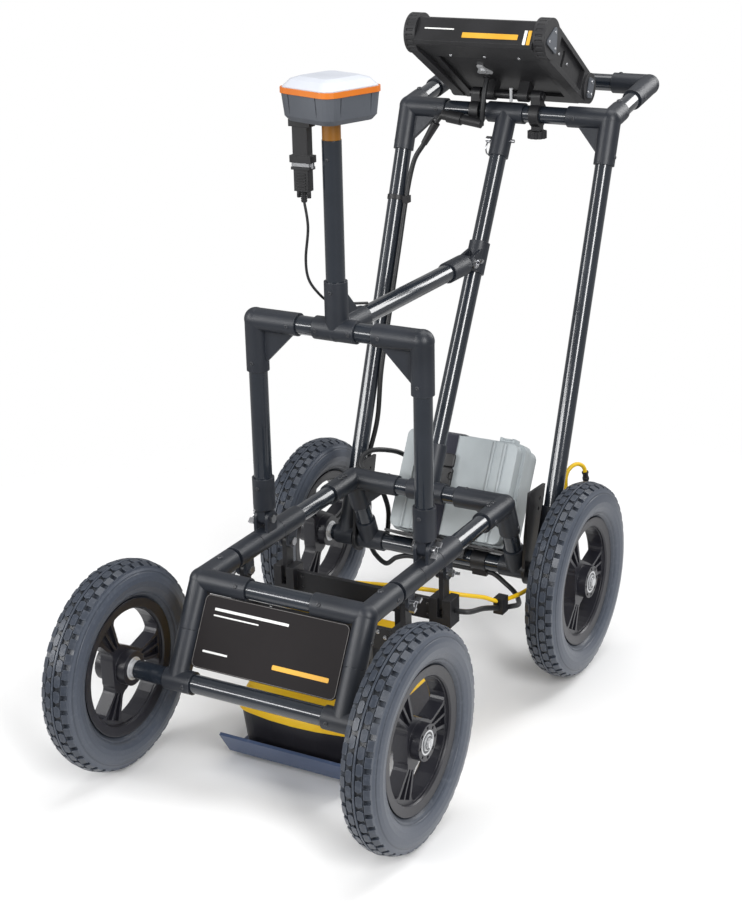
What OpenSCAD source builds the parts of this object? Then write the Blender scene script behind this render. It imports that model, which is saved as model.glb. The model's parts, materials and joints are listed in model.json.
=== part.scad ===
// Push cart that carries a ground penetrating radar sensor between four wheels.
// Units are millimetres, +Z is up and the front of the cart faces -Y.

/* [Wheels] */
// Outside diameter of a tyre
tyre_d = 318; // [306:1:330]
// Width of a tyre across its sidewalls
tyre_w = 57; // [52:1:62]
// Diameter of the rim where the tyre bead sits
rim_d = 206; // [200:1:212]
// Distance between the front and rear axles
wheelbase = 575; // [560:1:600]
// Distance of a wheel's middle plane outside the axis of its side rail
wheel_out = 104; // [102:1:118]
// Blocks in one row of the tread
tread_blocks = 44; // [36:2:52]

/* [Frame] */
// Outside diameter of every frame tube
tube_d = 28; // [26:0.5:29]
// Wall of the frame tubes
tube_wall = 3; // [2:0.5:4]
// Wall of the moulded sockets round the tubes
socket_wall = 3; // [2.5:0.5:3.5]
// Distance between the axes of the two side rails
frame_w = 274; // [268:1:280]
// Height of the side rails
deck_z = 288; // [280:1:300]
// Setback of the front top corner behind the front axle
front_y = 72; // [60:1:84]
// Distance of the rear upper tube in front of the rear axle
rear_in = 52; // [45:1:65]

/* [Handle] */
// Distance of a side pole's axis outside the axis of its side rail
pole_out = 45; // [44:0.5:50]
// Height of the top cross tube
handle_z = 853; // [820:1:900]
// Distance of the top cross tube behind the rear axle
handle_back = 250; // [225:1:275]
// Reach of the push bar behind the top cross tube
grip_back = 170; // [140:1:200]
// Rise of the push bar above the top cross tube
grip_rise = 31; // [10:1:50]

/* [Mast] */
// Distance of the uprights behind the front axle
gate_y = 248; // [240:1:256]
// Height of the cross tube between the uprights
gate_z = 634; // [600:1:660]
// Height of the top of the mast tube
mast_top = 906; // [860:1:930]
// Side of the satellite receiver
receiver_w = 106; // [96:1:116]
// Height of the satellite receiver
receiver_h = 60; // [52:1:66]

/* [Sensor] */
// Width of the radar sensor
sensor_w = 216; // [190:1:224]
// Length of the radar sensor
sensor_l = 326; // [280:1:340]
// Gap between the skid and the ground
skid_gap = 6; // [4:1:12]
// Length of a hanger link between its two pins
link_l = 56; // [50:1:62]
// Distance between the front and rear hanger forks
hanger_pitch = 122; // [120:1:130]

/* [Display] */
// Width of the display over its bumpers
display_w = 244; // [220:1:270]
// Depth between the centres of the front and rear rolls
display_l = 186; // [170:1:200]
// Slope of the display from level
display_tilt = 32; // [26:1:38]

/* [Battery case] */
// Width of the battery case
case_w = 214; // [180:1:216]
// Height of the battery case along its slope
case_h = 176; // [150:1:180]
// Depth of the battery case
case_d = 90; // [80:1:100]
// Offset of the case to the right of the middle
case_x = 11; // [0:1:11]

/* [Hidden] */
$fn = 48;
// Radial room of a tube in its socket
slip = 0.1;
// Radial running clearance of a pin or shaft
run = 0.05;
// Gap between bodies that move past each other
gap = 0.4;
R = tyre_d / 2;
tr = tube_d / 2;
br = tr + slip;
fr = br + socket_wall;
// Extra radius of the ball at a moulded corner
ball = 0.4;
seat = fr + 4;
hw = frame_w / 2;
wx = hw + wheel_out;
hx = hw + pole_out;
rear_y = wheelbase - rear_in;
handle_y = wheelbase + handle_back;
grip_y = handle_y + grip_back;
grip_z = handle_z + grip_rise;
// The front axle sits where the outline box is centred on the origin
y_f = (R - grip_y - fr - ball) / 2;

// Corner points of the frame, measured from the ground under the front axle
FA = [hw, 0, R];
FC = [hw, front_y, deck_z];
RC = [hw, rear_y, deck_z];
RA = [hw, wheelbase, R];
PF = [hx, wheelbase, R];
TC = [hx, handle_y, handle_z];
GE = [hx, grip_y, grip_z];
PB = [0, rear_y, deck_z];
PT = [0, handle_y, handle_z];
UX = [1, 0, 0];
UY = [0, 1, 0];
UZ = [0, 0, 1];
function unit(v) = v / norm(v);
leg_f = unit(FC - FA);
leg_r = unit(RA - RC);
pole = unit(TC - PF);
cpole = unit(PT - PB);
stub = unit(GE - TC);
function mx(p) = [-p[0], p[1], p[2]];

// Wheel and axle sizes
hub_l = 52;
hub_r = 26;
axle_r = 8;
bear_r = 17.5;
bear_w = 11;
axle_end = wx - 33;

// Mast frame pivot and strut hook
piv_z = deck_z + fr + 15;
piv_r = 4;
tongue = 14;
cheek = 5;
// Half width over the two cheeks of the strut saddle
saddle_w = tongue / 2 + gap + cheek;
sock_lo = piv_z + 16;
hook_y = rear_y + (gate_z - deck_z) * cpole[1] / cpole[2] - 35;

// Hangers
hang_z = deck_z - fr - 12;
low_z = hang_z - link_l;
link_t = 8;
hang_f = gate_y - hanger_pitch / 2;
hang_r = gate_y + hanger_pitch / 2;

// Sensor heights
skid_t = 5;
tub_z = skid_gap + skid_t + 0.1;
cover_z = tub_z + 64;
deck_top = cover_z + 34;
sen_f = gate_y - sensor_l / 2;

// Display frame: origin on the pivot rod, x right, y down the slope, z out of the screen
disp_piv_z = handle_z + fr + 12;
disp_back = 44;
disp_up = 38;
bump_t = 20;
roll_f = 32;
roll_r = 25;
body_w = display_w - 2 * bump_t;

// Case frame: on the slope of the centre pole, with the rear axle under the middle of the tray
ax_n = (wheelbase - rear_y) * cpole[2] + (deck_z - R) * cpole[1];
ax_s = (wheelbase - rear_y) * cpole[1] - (deck_z - R) * cpole[2];
case_lift = ax_n - case_d / 2 + 4.3;
st = 2;
lid_d = 38;

// Shared helpers

// Put children at a with their z axis towards b
module aim(a, b) {
  d = b - a;
  translate(a)
    rotate([0, acos(d[2] / norm(d)), atan2(d[1], d[0])])
      children();
}

// Solid round bar from a to b
module rod(a, b, r) {
  aim(a, b)
    cylinder(r = r, h = norm(b - a));
}

// Frame tube between two corner points, stopping short of each by the seat
module pipe(a, b, sa, sb) {
  u = unit(b - a);
  difference() {
    rod(a + u * sa, b - u * sb, tr);
    rod(a + u * (sa - 1), b - u * (sb - 1), tr - tube_wall);
  }
}

// Moulded corner: arms is a list of [direction, length]
module corner(c, arms) {
  difference() {
    union() {
      translate(c)
        sphere(r = fr + ball);
      for (k = arms)
        rod(c, c + k[0] * k[1], fr);
    }
    for (k = arms)
      rod(c + k[0] * (seat - 0.5), c + k[0] * (k[1] + 1), br);
  }
}

// Moulded tee: a sleeve along X with side arms
module tee(c, lo, hi, arms) {
  difference() {
    union() {
      rod(c - UX * lo, c + UX * hi, fr);
      for (k = arms)
        rod(c, c + k[0] * k[1], fr - 0.2);
    }
    rod(c - UX * (lo + 1), c + UX * (hi + 1), br);
    for (k = arms)
      rod(c + k[0] * (seat - 0.5), c + k[0] * (k[1] + 1), br);
  }
}

// Flat triangular web
module web(a, b, d, t) {
  n = unit(cross(b - a, d - a)) * t / 2;
  polyhedron(
    points = [a - n, b - n, d - n, a + n, b + n, d + n],
    faces = [[0, 1, 2], [3, 5, 4], [0, 3, 4, 1], [1, 4, 5, 2], [2, 5, 3, 0]]
  );
}

module both() {
  children();
  mirror([1, 0, 0])
    children();
}

// Plate in the Y-Z plane, from x to x + t
module side_plate(x, t) {
  translate([x, 0, 0])
    rotate([90, 0, 90])
      linear_extrude(height = t)
        children();
}

function arc(cx, cy, r, a0, a1, n) =
  [for (i = [0 : n]) [cx + r * cos(a0 + (a1 - a0) * i / n), cy + r * sin(a0 + (a1 - a0) * i / n)]];

// Outline of a rectangle with round corners, w along x and h along y, centred
function round_rect(w, h, r, n = 5) = concat(
  arc(w / 2 - r, h / 2 - r, r, 0, 90, n),
  arc(r - w / 2, h / 2 - r, r, 90, 180, n),
  arc(r - w / 2, r - h / 2, r, 180, 270, n),
  arc(w / 2 - r, r - h / 2, r, 270, 360, n)
);

// Smooth route through hand-chosen points
function cr(a, b, c, d, t) =
  0.5 * (2 * b + (c - a) * t + (2 * a - 5 * b + 4 * c - d) * t * t + (3 * b - a - 3 * c + d) * t * t * t);
function smooth(p, n) = [
  for (i = [0 : len(p) - 2])
    for (j = [0 : n - 1])
      cr(p[max(i - 1, 0)], p[i], p[i + 1], p[min(i + 2, len(p) - 1)], j / n),
  p[len(p) - 1]
];
function tangent(p, i) = unit(p[min(i + 1, len(p) - 1)] - p[max(i - 1, 0)]);
function side_of(u, t) = unit(u - t * (u * t));

// Round cord swept along a route
module cord(route, r, n, u0) {
  m = len(route);
  us = [
    for (i = 0, u = side_of(u0, tangent(route, 0)); i < m;
      i = i + 1, u = side_of(u, tangent(route, min(i, m - 1)))) u
  ];
  pts = [
    for (i = [0 : m - 1])
      for (k = [0 : n - 1])
        route[i] + r * (us[i] * cos(360 * k / n) + cross(tangent(route, i), us[i]) * sin(360 * k / n))
  ];
  polyhedron(
    points = pts,
    faces = concat(
      [[for (k = [0 : n - 1]) n - 1 - k]],
      [[for (k = [0 : n - 1]) (m - 1) * n + k]],
      [
        for (i = [0 : m - 2])
          for (k = [0 : n - 1])
            [i * n + k, i * n + (k + 1) % n, (i + 1) * n + (k + 1) % n, (i + 1) * n + k]
      ]
    )
  );
}

// Wheels, made about the z axis with the outside face up

module wheel_at(x, y) {
  translate([x, y, R])
    rotate([0, x > 0 ? 90 : -90, 0])
      children();
}

// Row heights of the tread: base of the grooves and tops of the blocks
gr = R - 3.8;
hz = tyre_w / 2;
side_pts = [
  [R - 11.2, hz - 5.6], [R - 16, hz - 2.8], [R - 22, hz - 0.9], [R - 29, hz],
  [R - 37, hz - 1.2], [R - 44, hz - 4], [R - 50, hz - 8.4], [rim_d / 2 + 2, hz - 12.6], [rim_d / 2, hz - 14.4]
];
tread_pts = [
  [R, 0], [R, 1.2], [gr, 1.7], [gr, 2.8], [R - 0.5, 3.2], [R - 1.7, 11.6],
  [gr - 1.4, 12.2], [gr - 1.6, 13.4], [R - 2.4, 13.8], [R - 6.2, hz - 6.6], [R - 10.4, hz - 6]
];
half_pts = concat(tread_pts, side_pts);
nh = len(half_pts);

// Gap between two blocks: wide at both ends, so that the blocks come out six-sided
block_gap = 0.34 * 360 / tread_blocks * R * PI / 180;
function tread_cut(z0, z1) = [
  [-block_gap * 0.62, z0], [block_gap * 0.62, z0], [block_gap * 0.28, (z0 + z1) / 2],
  [block_gap * 0.62, z1], [-block_gap * 0.62, z1], [-block_gap * 0.28, (z0 + z1) / 2]
];

module tyre() {
  difference() {
    rotate_extrude($fn = 128)
      polygon(concat(half_pts, [for (i = [0 : nh - 2]) [half_pts[nh - 1 - i][0], -half_pts[nh - 1 - i][1]]]));
    for (k = [0 : tread_blocks - 1]) {
      rotate([0, 0, 360 * k / tread_blocks])
        side_plate(gr + 0.2, 6)
          polygon(tread_cut(2.2, 12.4));
      rotate([0, 0, 360 * (k + 0.5) / tread_blocks])
        side_plate(gr + 0.2, 6)
          polygon(tread_cut(-2.2, -12.4));
      rotate([0, 0, 360 * (k + 0.5) / tread_blocks])
        translate([gr - 4.2, -block_gap / 2, 12.8])
          cube([9, block_gap, hz - 16]);
      rotate([0, 0, 360 * k / tread_blocks])
        translate([gr - 4.2, -block_gap / 2, 3.2 - hz])
          cube([9, block_gap, hz - 16]);
    }
  }
}

// Window between two spokes: kidney with round corners
function kidney(ri, ro, a, c) = concat(
  arc((ro - c) * cos(asin(c / (ro - c)) - a), (ro - c) * sin(asin(c / (ro - c)) - a), c, -a - 70, -a + 8, 4),
  arc(0, 0, ro, -a + 22, a - 22, 6),
  arc((ro - c) * cos(a - asin(c / (ro - c))), (ro - c) * sin(a - asin(c / (ro - c))), c, a - 8, a + 70, 4),
  arc((ri + c) * cos(a - asin(c / (ri + c))), (ri + c) * sin(a - asin(c / (ri + c))), c, a + 90, a + 160, 4),
  arc((ri + c) * cos(asin(c / (ri + c)) - a), (ri + c) * sin(asin(c / (ri + c)) - a), c, -a - 160, -a - 90, 4)
);
bs = rim_d / 2 - slip;
// Pocket on each side of a spoke's middle rib, down to the web
web_z = 4;
spoke_pocket = [[40, 1.8], [bs - 22, 1.8], [bs - 22, (bs - 22) * sin(14) - 4], [40, 40 * sin(14) - 4]];

module rim() {
  difference() {
    union() {
      rotate_extrude($fn = 96)
        polygon([
          [bs - 15, -14], [bs - 13, -16.4], [bs - 1, -17.8], [bs + 1.2, -17.8], [bs, -15.6], [bs, 15.6],
          [bs + 1.2, 17.8], [bs - 1, 17.8], [bs - 13, 16.4], [bs - 15, 14]
        ]);
      translate([0, 0, -11])
        cylinder(r = bs - 14, h = 22);
      translate([0, 0, -hub_l / 2])
        cylinder(r = hub_r, h = hub_l);
    }
    for (k = [0 : 2])
      rotate([0, 0, 120 * k + 30])
        translate([0, 0, -12])
          linear_extrude(height = 24)
            polygon(kidney(36, bs - 16, 46, 12));
    for (k = [0 : 2], s = [-1, 1], m = [0, 1])
      rotate([0, 0, 120 * k + 90])
        translate([0, 0, s > 0 ? web_z : -web_z - 12])
          linear_extrude(height = 12)
            mirror([0, m, 0])
              polygon(spoke_pocket);
    for (a = [0 : 45 : 315])
      rotate([0, 0, a])
        translate([bear_r + 2.2, -2.5, hub_l / 2 - 3])
          cube([hub_r - bear_r - 4.4, 5, 4]);
    translate([0, 0, -hub_l])
      cylinder(r = 12, h = 2 * hub_l);
    translate([0, 0, hub_l / 2 - bear_w - 0.5])
      cylinder(r = bear_r, h = bear_w + 2);
    translate([0, 0, -hub_l / 2 - 1.5])
      cylinder(r = bear_r, h = bear_w + 2);
  }
}

tyre_c = [0.26, 0.29, 0.32];
rim_c = [0.06, 0.06, 0.07];

module tyre_fl() {
  color(tyre_c)
    wheel_at(-wx, 0)
      tyre();
}

module tyre_fr() {
  color(tyre_c)
    wheel_at(wx, 0)
      tyre();
}

module tyre_rl() {
  color(tyre_c)
    wheel_at(-wx, wheelbase)
      tyre();
}

module tyre_rr() {
  color(tyre_c)
    wheel_at(wx, wheelbase)
      tyre();
}

module rim_fl() {
  color(rim_c)
    wheel_at(-wx, 0)
      rim();
}

module rim_fr() {
  color(rim_c)
    wheel_at(wx, 0)
      rim();
}

module rim_rl() {
  color(rim_c)
    wheel_at(-wx, wheelbase)
      rim();
}

module rim_rr() {
  color(rim_c)
    wheel_at(wx, wheelbase)
      rim();
}

module stub_axles() {
  color([0.7, 0.7, 0.72])
    both()
      for (y = [0, wheelbase])
        translate([0, y, R]) {
          rotate([0, 90, 0])
            rotate_extrude()
              polygon([
                [0, hx - 30], [tr - tube_wall - run, hx - 30], [tr - tube_wall - run, axle_end + 0.2],
                [12.5, axle_end + 0.2], [12.5, wx - hub_l / 2 - gap], [axle_r - run, wx - hub_l / 2 - gap],
                [axle_r - run, wx + hub_l / 2 + 0.3], [0, wx + hub_l / 2 + 0.3]
              ]);
          translate([wx + hub_l / 2 + 0.3, 0, 0])
            rotate([0, 90, 0])
              difference() {
                union() {
                  cylinder(r = 10.5, h = 1.6);
                  translate([0, 0, -3])
                    cylinder(r = 6.5, h = 7.5);
                }
                translate([-8, -0.9, 2.6])
                  cube([16, 1.8, 4]);
              }
        }
}

module wheel_bearings() {
  color([0.72, 0.73, 0.75])
    both()
      for (y = [0, wheelbase], s = [-1, 1])
        translate([wx + s * (hub_l / 2 - bear_w / 2), y, R])
          rotate([0, 90, 0])
            difference() {
              cylinder(r = bear_r - run, h = bear_w, center = true);
              cylinder(r = axle_r, h = bear_w + 2, center = true);
              translate([0, 0, s * bear_w / 2])
                rotate_extrude()
                  polygon([[11.5, -0.8], [15, -0.8], [15, 0.8], [11.5, 0.8]]);
            }
}

// Lower frame

module frame_tubes() {
  color([0.2, 0.22, 0.25]) {
    pipe([-axle_end, 0, R], [axle_end, 0, R], 0, 0);
    pipe([-axle_end, wheelbase, R], [axle_end, wheelbase, R], 0, 0);
    pipe(mx(FC), FC, seat, seat);
    pipe(mx(RC), RC, seat, seat);
    both() {
      pipe(FA, FC, seat, seat);
      pipe(RC, RA, seat, seat);
      pipe(FC, RC, seat, seat);
    }
  }
}

module axle_tees() {
  color([0.17, 0.18, 0.2])
    both() {
      tee(FA, 28, fr + 0.5, [[leg_f, leg_len / 2 - 0.2]]);
      tee(RA, 28, fr + 0.5, [[-leg_r, 44]]);
    }
}

// Room that a hanger fork takes on its rail, from its pin forwards
fork_room = 37;

module front_corners() {
  color([0.17, 0.18, 0.2])
    both()
      corner(FC, [[-leg_f, leg_len / 2 - 0.2], [UY, hang_f - front_y - fork_room], [-UX, 83]]);
}

module rear_corners() {
  color([0.17, 0.18, 0.2])
    both()
      difference() {
        union() {
          corner(RC, [[leg_r, 58], [-UY, 83], [-UX, 83]]);
          web(RC - UX * fr + leg_r * 12, RC - UX * 62 + leg_r * 12, RC - UX * (fr - 3) + leg_r * 54, 7);
        }
        rod(RC - UX * (seat - 0.5), RC - UX * 90, br);
        rod(RC + leg_r * (seat - 0.5), RC + leg_r * 60, br);
      }
}

plate_t = 5;
plate_x = hw + fr + 0.8;
function pole_pt(z) = PF[1] + (z - R) * pole[1] / pole[2];

module side_plates() {
  color([0.07, 0.07, 0.08])
    both()
      side_plate(plate_x, plate_t)
        difference() {
          union() {
            translate([wheelbase, R])
              circle(r = 24);
            polygon([
              [wheelbase - 22, R + 9], [wheelbase - 16, R + 66], [wheelbase - 2, deck_z + 6],
              [pole_pt(deck_z) + 12, deck_z + 2], [pole_pt(R) + 24, R]
            ]);
          }
          translate([wheelbase, R])
            circle(r = br);
          translate([pole_pt(deck_z - 16) - 4, deck_z - 16])
            circle(r = 3.2);
          translate([pole_pt(deck_z - 32) - 4, deck_z - 32])
            circle(r = 3.2);
        }
}

leg_len = norm(FC - FA);
leg_tilt = atan2(deck_z - R, front_y);

module front_panel() {
  color([0.15, 0.14, 0.14])
    translate([0, 0, R])
      rotate([leg_tilt, 0, 0])
        translate([0, 23 + (leg_len - fr - 23.3) / 2, 1])
          linear_extrude(height = 4)
            polygon(round_rect(frame_w - 2 * fr - 0.3, leg_len - fr - 23.3, 9));
}

// Fork on a rail: up for the mast frame, down for the hangers
module fork(y, pz, t, cr, len) {
  difference() {
    union() {
      rod([hw, y - len / 2, deck_z], [hw, y + len / 2, deck_z], fr);
      for (s = [-1, 1]) {
        side_plate(hw + (s > 0 ? t / 2 : -t / 2 - cheek), cheek)
          translate([y, pz])
            circle(r = cr);
        translate([hw + (s > 0 ? t / 2 : -t / 2 - cheek), y - cr, min(pz, deck_z)])
          cube([cheek, 2 * cr, abs(pz - deck_z)]);
      }
    }
    rod([hw, y - len, deck_z], [hw, y + len, deck_z], br);
    rod([hw - 40, y, pz], [hw + 40, y, pz], piv_r + run);
  }
}

module gate_forks() {
  color([0.17, 0.18, 0.2])
    both()
      fork(gate_y, piv_z, tongue + 2 * gap, 13, 60);
}

module hanger_forks() {
  color([0.17, 0.18, 0.2])
    both() {
      fork(hang_f, hang_z, link_t + 2 * gap, 11, 60);
      fork(hang_r, hang_z, link_t + 2 * gap, 11, 60);
    }
}

module bolt(y, z, t) {
  e = t / 2 + gap + cheek;
  rod([hw - e - 1, y, z], [hw + e + 1, y, z], piv_r);
  translate([hw - e - 4.3, y, z])
    rotate([0, 90, 0])
      cylinder(r = 7, h = 4, $fn = 6);
}

module pivot_bolts() {
  color([0.6, 0.6, 0.62]) {
    both() {
      bolt(gate_y, piv_z, tongue);
      bolt(hang_f, hang_z, link_t);
      bolt(hang_r, hang_z, link_t);
    }
    rod([-saddle_w - 4, hook_y, gate_z], [saddle_w + 1, hook_y, gate_z], piv_r);
    translate([-saddle_w - 4.3, hook_y, gate_z])
      rotate([0, 90, 0])
        cylinder(r = 7, h = 4, $fn = 6);
  }
}

// Wing nut on +X, its face at x
module wing_nut(x, y, z, a) {
  translate([x, y, z])
    rotate([a, 0, 0])
      difference() {
        union() {
          rotate([0, 90, 0])
            cylinder(r = 6, h = 6);
          translate([2, -14, -2])
            cube([9, 28, 4]);
        }
        rotate([0, 90, 0])
          translate([0, 0, -1])
            cylinder(r = piv_r + run, h = 20);
        translate([7, -5.5, -5])
          cube([6, 11, 10]);
      }
}

module wing_nuts() {
  color([0.75, 0.75, 0.76]) {
    both() {
      wing_nut(hw + link_t / 2 + gap + cheek + 0.1, hang_f, hang_z, 25);
      wing_nut(hw + link_t / 2 + gap + cheek + 0.1, hang_r, hang_z, -20);
      wing_nut(hw + tongue / 2 + gap + cheek + 0.1, gate_y, piv_z, 40);
    }
    wing_nut(saddle_w + 0.1, hook_y, gate_z, 10);
  }
}

// Handle

module pole_feet() {
  color([0.17, 0.18, 0.2]) {
    both()
      tee(PF, fr - 0.8, fr + 1, [[pole, 108]]);
    tee(PB, 32, 32, [[cpole, 78]]);
  }
}

module handle_poles() {
  color([0.2, 0.22, 0.25])
    both()
      pipe(PF, TC, seat, seat);
}

pin_at = PT - cpole * 48;

module centre_pole() {
  color([0.2, 0.22, 0.25])
    difference() {
      pipe(PB, PT, seat, seat);
      rod(pin_at - UX * 30, pin_at + UX * 30, 3 + run);
    }
}

module handle_fittings() {
  color([0.17, 0.18, 0.2]) {
    both() {
      difference() {
        union() {
          corner(TC, [[-pole, 74], [-UX, 72], [stub, 40]]);
          web(
            TC - UX * (fr - 2) - pole * 10,
            TC - UX * 58 - pole * 10,
            TC - UX * (fr - 4) - pole * 58,
            8
          );
        }
        rod(TC - UX * (seat - 0.5), TC - UX * 80, br);
        rod(TC - pole * (seat - 0.5), TC - pole * 80, br);
      }
      corner(GE, [[-stub, 78], [-UX, 62]]);
    }
    difference() {
      tee(PT, 32, 32, [[-cpole, 76]]);
      rod(pin_at - UX * 30, pin_at + UX * 30, 3 + run);
    }
  }
}

module handle_tubes() {
  color([0.2, 0.22, 0.25]) {
    pipe(mx(TC), TC, seat, seat);
    pipe(mx(GE), GE, seat, seat);
    both()
      pipe(TC, GE, seat, seat);
  }
}

module pull_pin() {
  color([0.72, 0.73, 0.75]) {
    rod(pin_at - UX * (fr + gap), pin_at + UX * (fr + 6), 3);
    rod(pin_at - UX * (fr + gap + 9), pin_at - UX * (fr + gap), 5.5);
    translate(pin_at - UX * (fr + gap + 6) - UZ * 14.5)
      rotate([0, 90, 0])
        rotate_extrude()
          translate([10, 0])
            circle(r = 1.2, $fn = 16);
  }
}

saddle_at = PB + cpole * ((gate_z - deck_z) / cpole[2]);

module strut_saddle() {
  color([0.17, 0.18, 0.2])
    difference() {
      union() {
        rod(saddle_at - cpole * 26, saddle_at + cpole * 26, fr);
        for (s = [-1, 1])
          side_plate(s > 0 ? tongue / 2 + gap : -tongue / 2 - gap - cheek, cheek)
            polygon(concat(
              arc(hook_y, gate_z, 12, 100, 260, 8),
              [[saddle_at[1] - 4, gate_z - 18], [saddle_at[1] + 4, gate_z + 18]]
            ));
      }
      rod(saddle_at - cpole * 40, saddle_at + cpole * 40, br);
      rod([-30, hook_y, gate_z], [30, hook_y, gate_z], piv_r + run);
    }
}

// Mast frame

module gate_tubes() {
  color([0.2, 0.22, 0.25]) {
    both() {
      pipe([hw, gate_y, sock_lo + 6], [hw, gate_y, gate_z], 0, seat);
      pipe([0, gate_y, gate_z], [hw, gate_y, gate_z], seat, seat);
    }
  }
}

module gate_sockets() {
  color([0.17, 0.18, 0.2])
    both()
      difference() {
        union() {
          rod([hw, gate_y, sock_lo], [hw, gate_y, sock_lo + 50], fr);
          side_plate(hw - tongue / 2, tongue)
            translate([gate_y, piv_z])
              circle(r = 11.5);
          translate([hw - tongue / 2, gate_y - 11.5, piv_z])
            cube([tongue, 23, sock_lo - piv_z + 1]);
        }
        rod([hw, gate_y, sock_lo + 5.5], [hw, gate_y, sock_lo + 60], br);
        rod([hw - 20, gate_y, piv_z], [hw + 20, gate_y, piv_z], piv_r + run);
      }
}

module gate_corners() {
  c = [hw, gate_y, gate_z];
  color([0.17, 0.18, 0.2])
    both()
      difference() {
        union() {
          corner(c, [[-UX, 74], [-UZ, 78]]);
          web(
            c - UX * (fr - 3) - UZ * (fr - 3),
            c - UX * 66 - UZ * (fr - 3),
            c - UX * (fr - 3) - UZ * 66,
            7
          );
        }
        rod(c - UX * (seat - 0.5), c - UX * 80, br);
        rod(c - UZ * (seat - 0.5), c - UZ * 80, br);
      }
}

mt = [0, gate_y, gate_z];

module mast_tee() {
  color([0.17, 0.18, 0.2])
    difference() {
      union() {
        corner(mt, [[UX, 34], [-UX, 34], [UZ, 72], [UY, 74]]);
        web(
          mt + UY * (fr - 3) + UZ * (fr - 3),
          mt + UY * 60 + UZ * (fr - 3),
          mt + UY * (fr - 3) + UZ * 60,
          7
        );
      }
      rod(mt + UY * (seat - 0.5), mt + UY * 80, br);
      rod(mt + UZ * (seat - 0.5), mt + UZ * 80, br);
    }
}

strut_end = hook_y - 18;

module mast_tubes() {
  color([0.2, 0.22, 0.25]) {
    pipe(mt, [0, gate_y, mast_top], seat, 0);
    pipe(mt, [0, strut_end - 6, gate_z], seat, 0);
  }
}

// Direction in which the strut end leaves the saddle bolt when the mast folds
hook_dir = unit([0, gate_z - piv_z, gate_y - hook_y]);

hook_a = atan2(hook_dir[2], hook_dir[1]);
hook_s = piv_r + 0.3;

module strut_hook() {
  color([0.17, 0.18, 0.2])
    difference() {
      union() {
        rod([0, strut_end - 56, gate_z], [0, strut_end, gate_z], fr);
        side_plate(-tongue / 2, tongue)
          difference() {
            polygon(concat(
              arc(hook_y, gate_z, 11, -90, 90, 16),
              [[strut_end - 3, gate_z + 11], [strut_end - 3, gate_z - 11]]
            ));
            polygon(concat(
              arc(hook_y, gate_z, hook_s, hook_a + 90, hook_a + 270, 12),
              arc(hook_y + 30 * cos(hook_a), gate_z + 30 * sin(hook_a), hook_s, hook_a - 90, hook_a + 90, 1)
            ));
          }
      }
      rod([0, strut_end - 60, gate_z], [0, strut_end - 5.5, gate_z], br);
    }
}

rec_z = mast_top + 28;
base_h = receiver_h * 0.63;
band_h = receiver_h * 0.13;

module mast_collar() {
  color([0.72, 0.48, 0.1])
    translate([0, gate_y, 0]) {
      translate([0, 0, mast_top + 0.1])
        cylinder(r = tr - 0.8, h = rec_z - mast_top - 0.2);
      translate([0, 0, mast_top - 30])
        cylinder(r = tr - tube_wall - slip, h = 30.2);
    }
}

module at_receiver() {
  translate([0, gate_y, rec_z])
    rotate([0, 0, -18])
      children();
}

module receiver_base() {
  w = receiver_w;
  color([0.4, 0.41, 0.43])
    at_receiver()
      difference() {
        union() {
          linear_extrude(height = 7, scale = 1.12)
            polygon(round_rect(w * 0.84, w * 0.84, 15));
          translate([0, 0, 6.9])
            linear_extrude(height = base_h - 6.9, scale = 1.06)
              polygon(round_rect(w * 0.94, w * 0.94, 17));
        }
        for (a = [0 : 90 : 270], s = [-0.26, 0.26])
          rotate([0, 0, a])
            translate([w * s - 0.8, w / 2 - 3, 4])
              cube([1.6, 6, base_h]);
      }
}

module receiver_band() {
  color([0.9, 0.45, 0.08])
    at_receiver()
      translate([0, 0, base_h])
        linear_extrude(height = band_h)
          polygon(round_rect(receiver_w + 2, receiver_w + 2, 18));
}

module receiver_dome() {
  h = receiver_h - base_h - band_h;
  color([0.93, 0.93, 0.93])
    at_receiver()
      translate([0, 0, base_h + band_h]) {
        linear_extrude(height = h * 0.75, scale = 0.82)
          polygon(round_rect(receiver_w - 2, receiver_w - 2, 17));
        translate([0, 0, h * 0.75])
          linear_extrude(height = h * 0.25, scale = 0.75)
            polygon(round_rect((receiver_w - 2) * 0.82, (receiver_w - 2) * 0.82, 14));
      }
}

plug_x = -40;
plug_y = gate_y - 12;

module receiver_plug() {
  color([0.08, 0.08, 0.09])
    translate([plug_x, plug_y, 0]) {
      translate([-17, -8, rec_z - 10])
        cube([34, 16, 9.8]);
      translate([-12, -7, rec_z - 50])
        cube([24, 14, 40]);
      translate([-17, -8, rec_z - 60])
        cube([34, 16, 10]);
      translate([-13, -6, rec_z - 66])
        cube([26, 12, 6]);
      translate([-15, -8, rec_z - 70])
        cube([30, 16, 4]);
      translate([-11.5, -7, rec_z - 100])
        cube([23, 14, 30]);
      translate([0, 0, rec_z - 116])
        cylinder(r = 4, h = 16);
    }
}

rec_route = [
  [plug_x, plug_y, rec_z - 116.2],
  [plug_x + 4, plug_y + 1, rec_z - 152],
  [plug_x - 2, plug_y + 2, rec_z - 198],
  [plug_x - 1, plug_y + 6, gate_z + 72],
  [plug_x + 8, plug_y + 16, gate_z + 50],
  [plug_x + 18, plug_y + 30, gate_z + 34],
  [plug_x + 28, plug_y + 48, gate_z + 27],
  [plug_x + 34, plug_y + 68, gate_z + 24],
  [-1, gate_y + 92, gate_z + tr + 2.3]
];

module receiver_cable() {
  color([0.03, 0.03, 0.03])
    cord(smooth(rec_route, 2), 2, 8, UX);
}

// Sensor suspension and sensor

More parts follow.
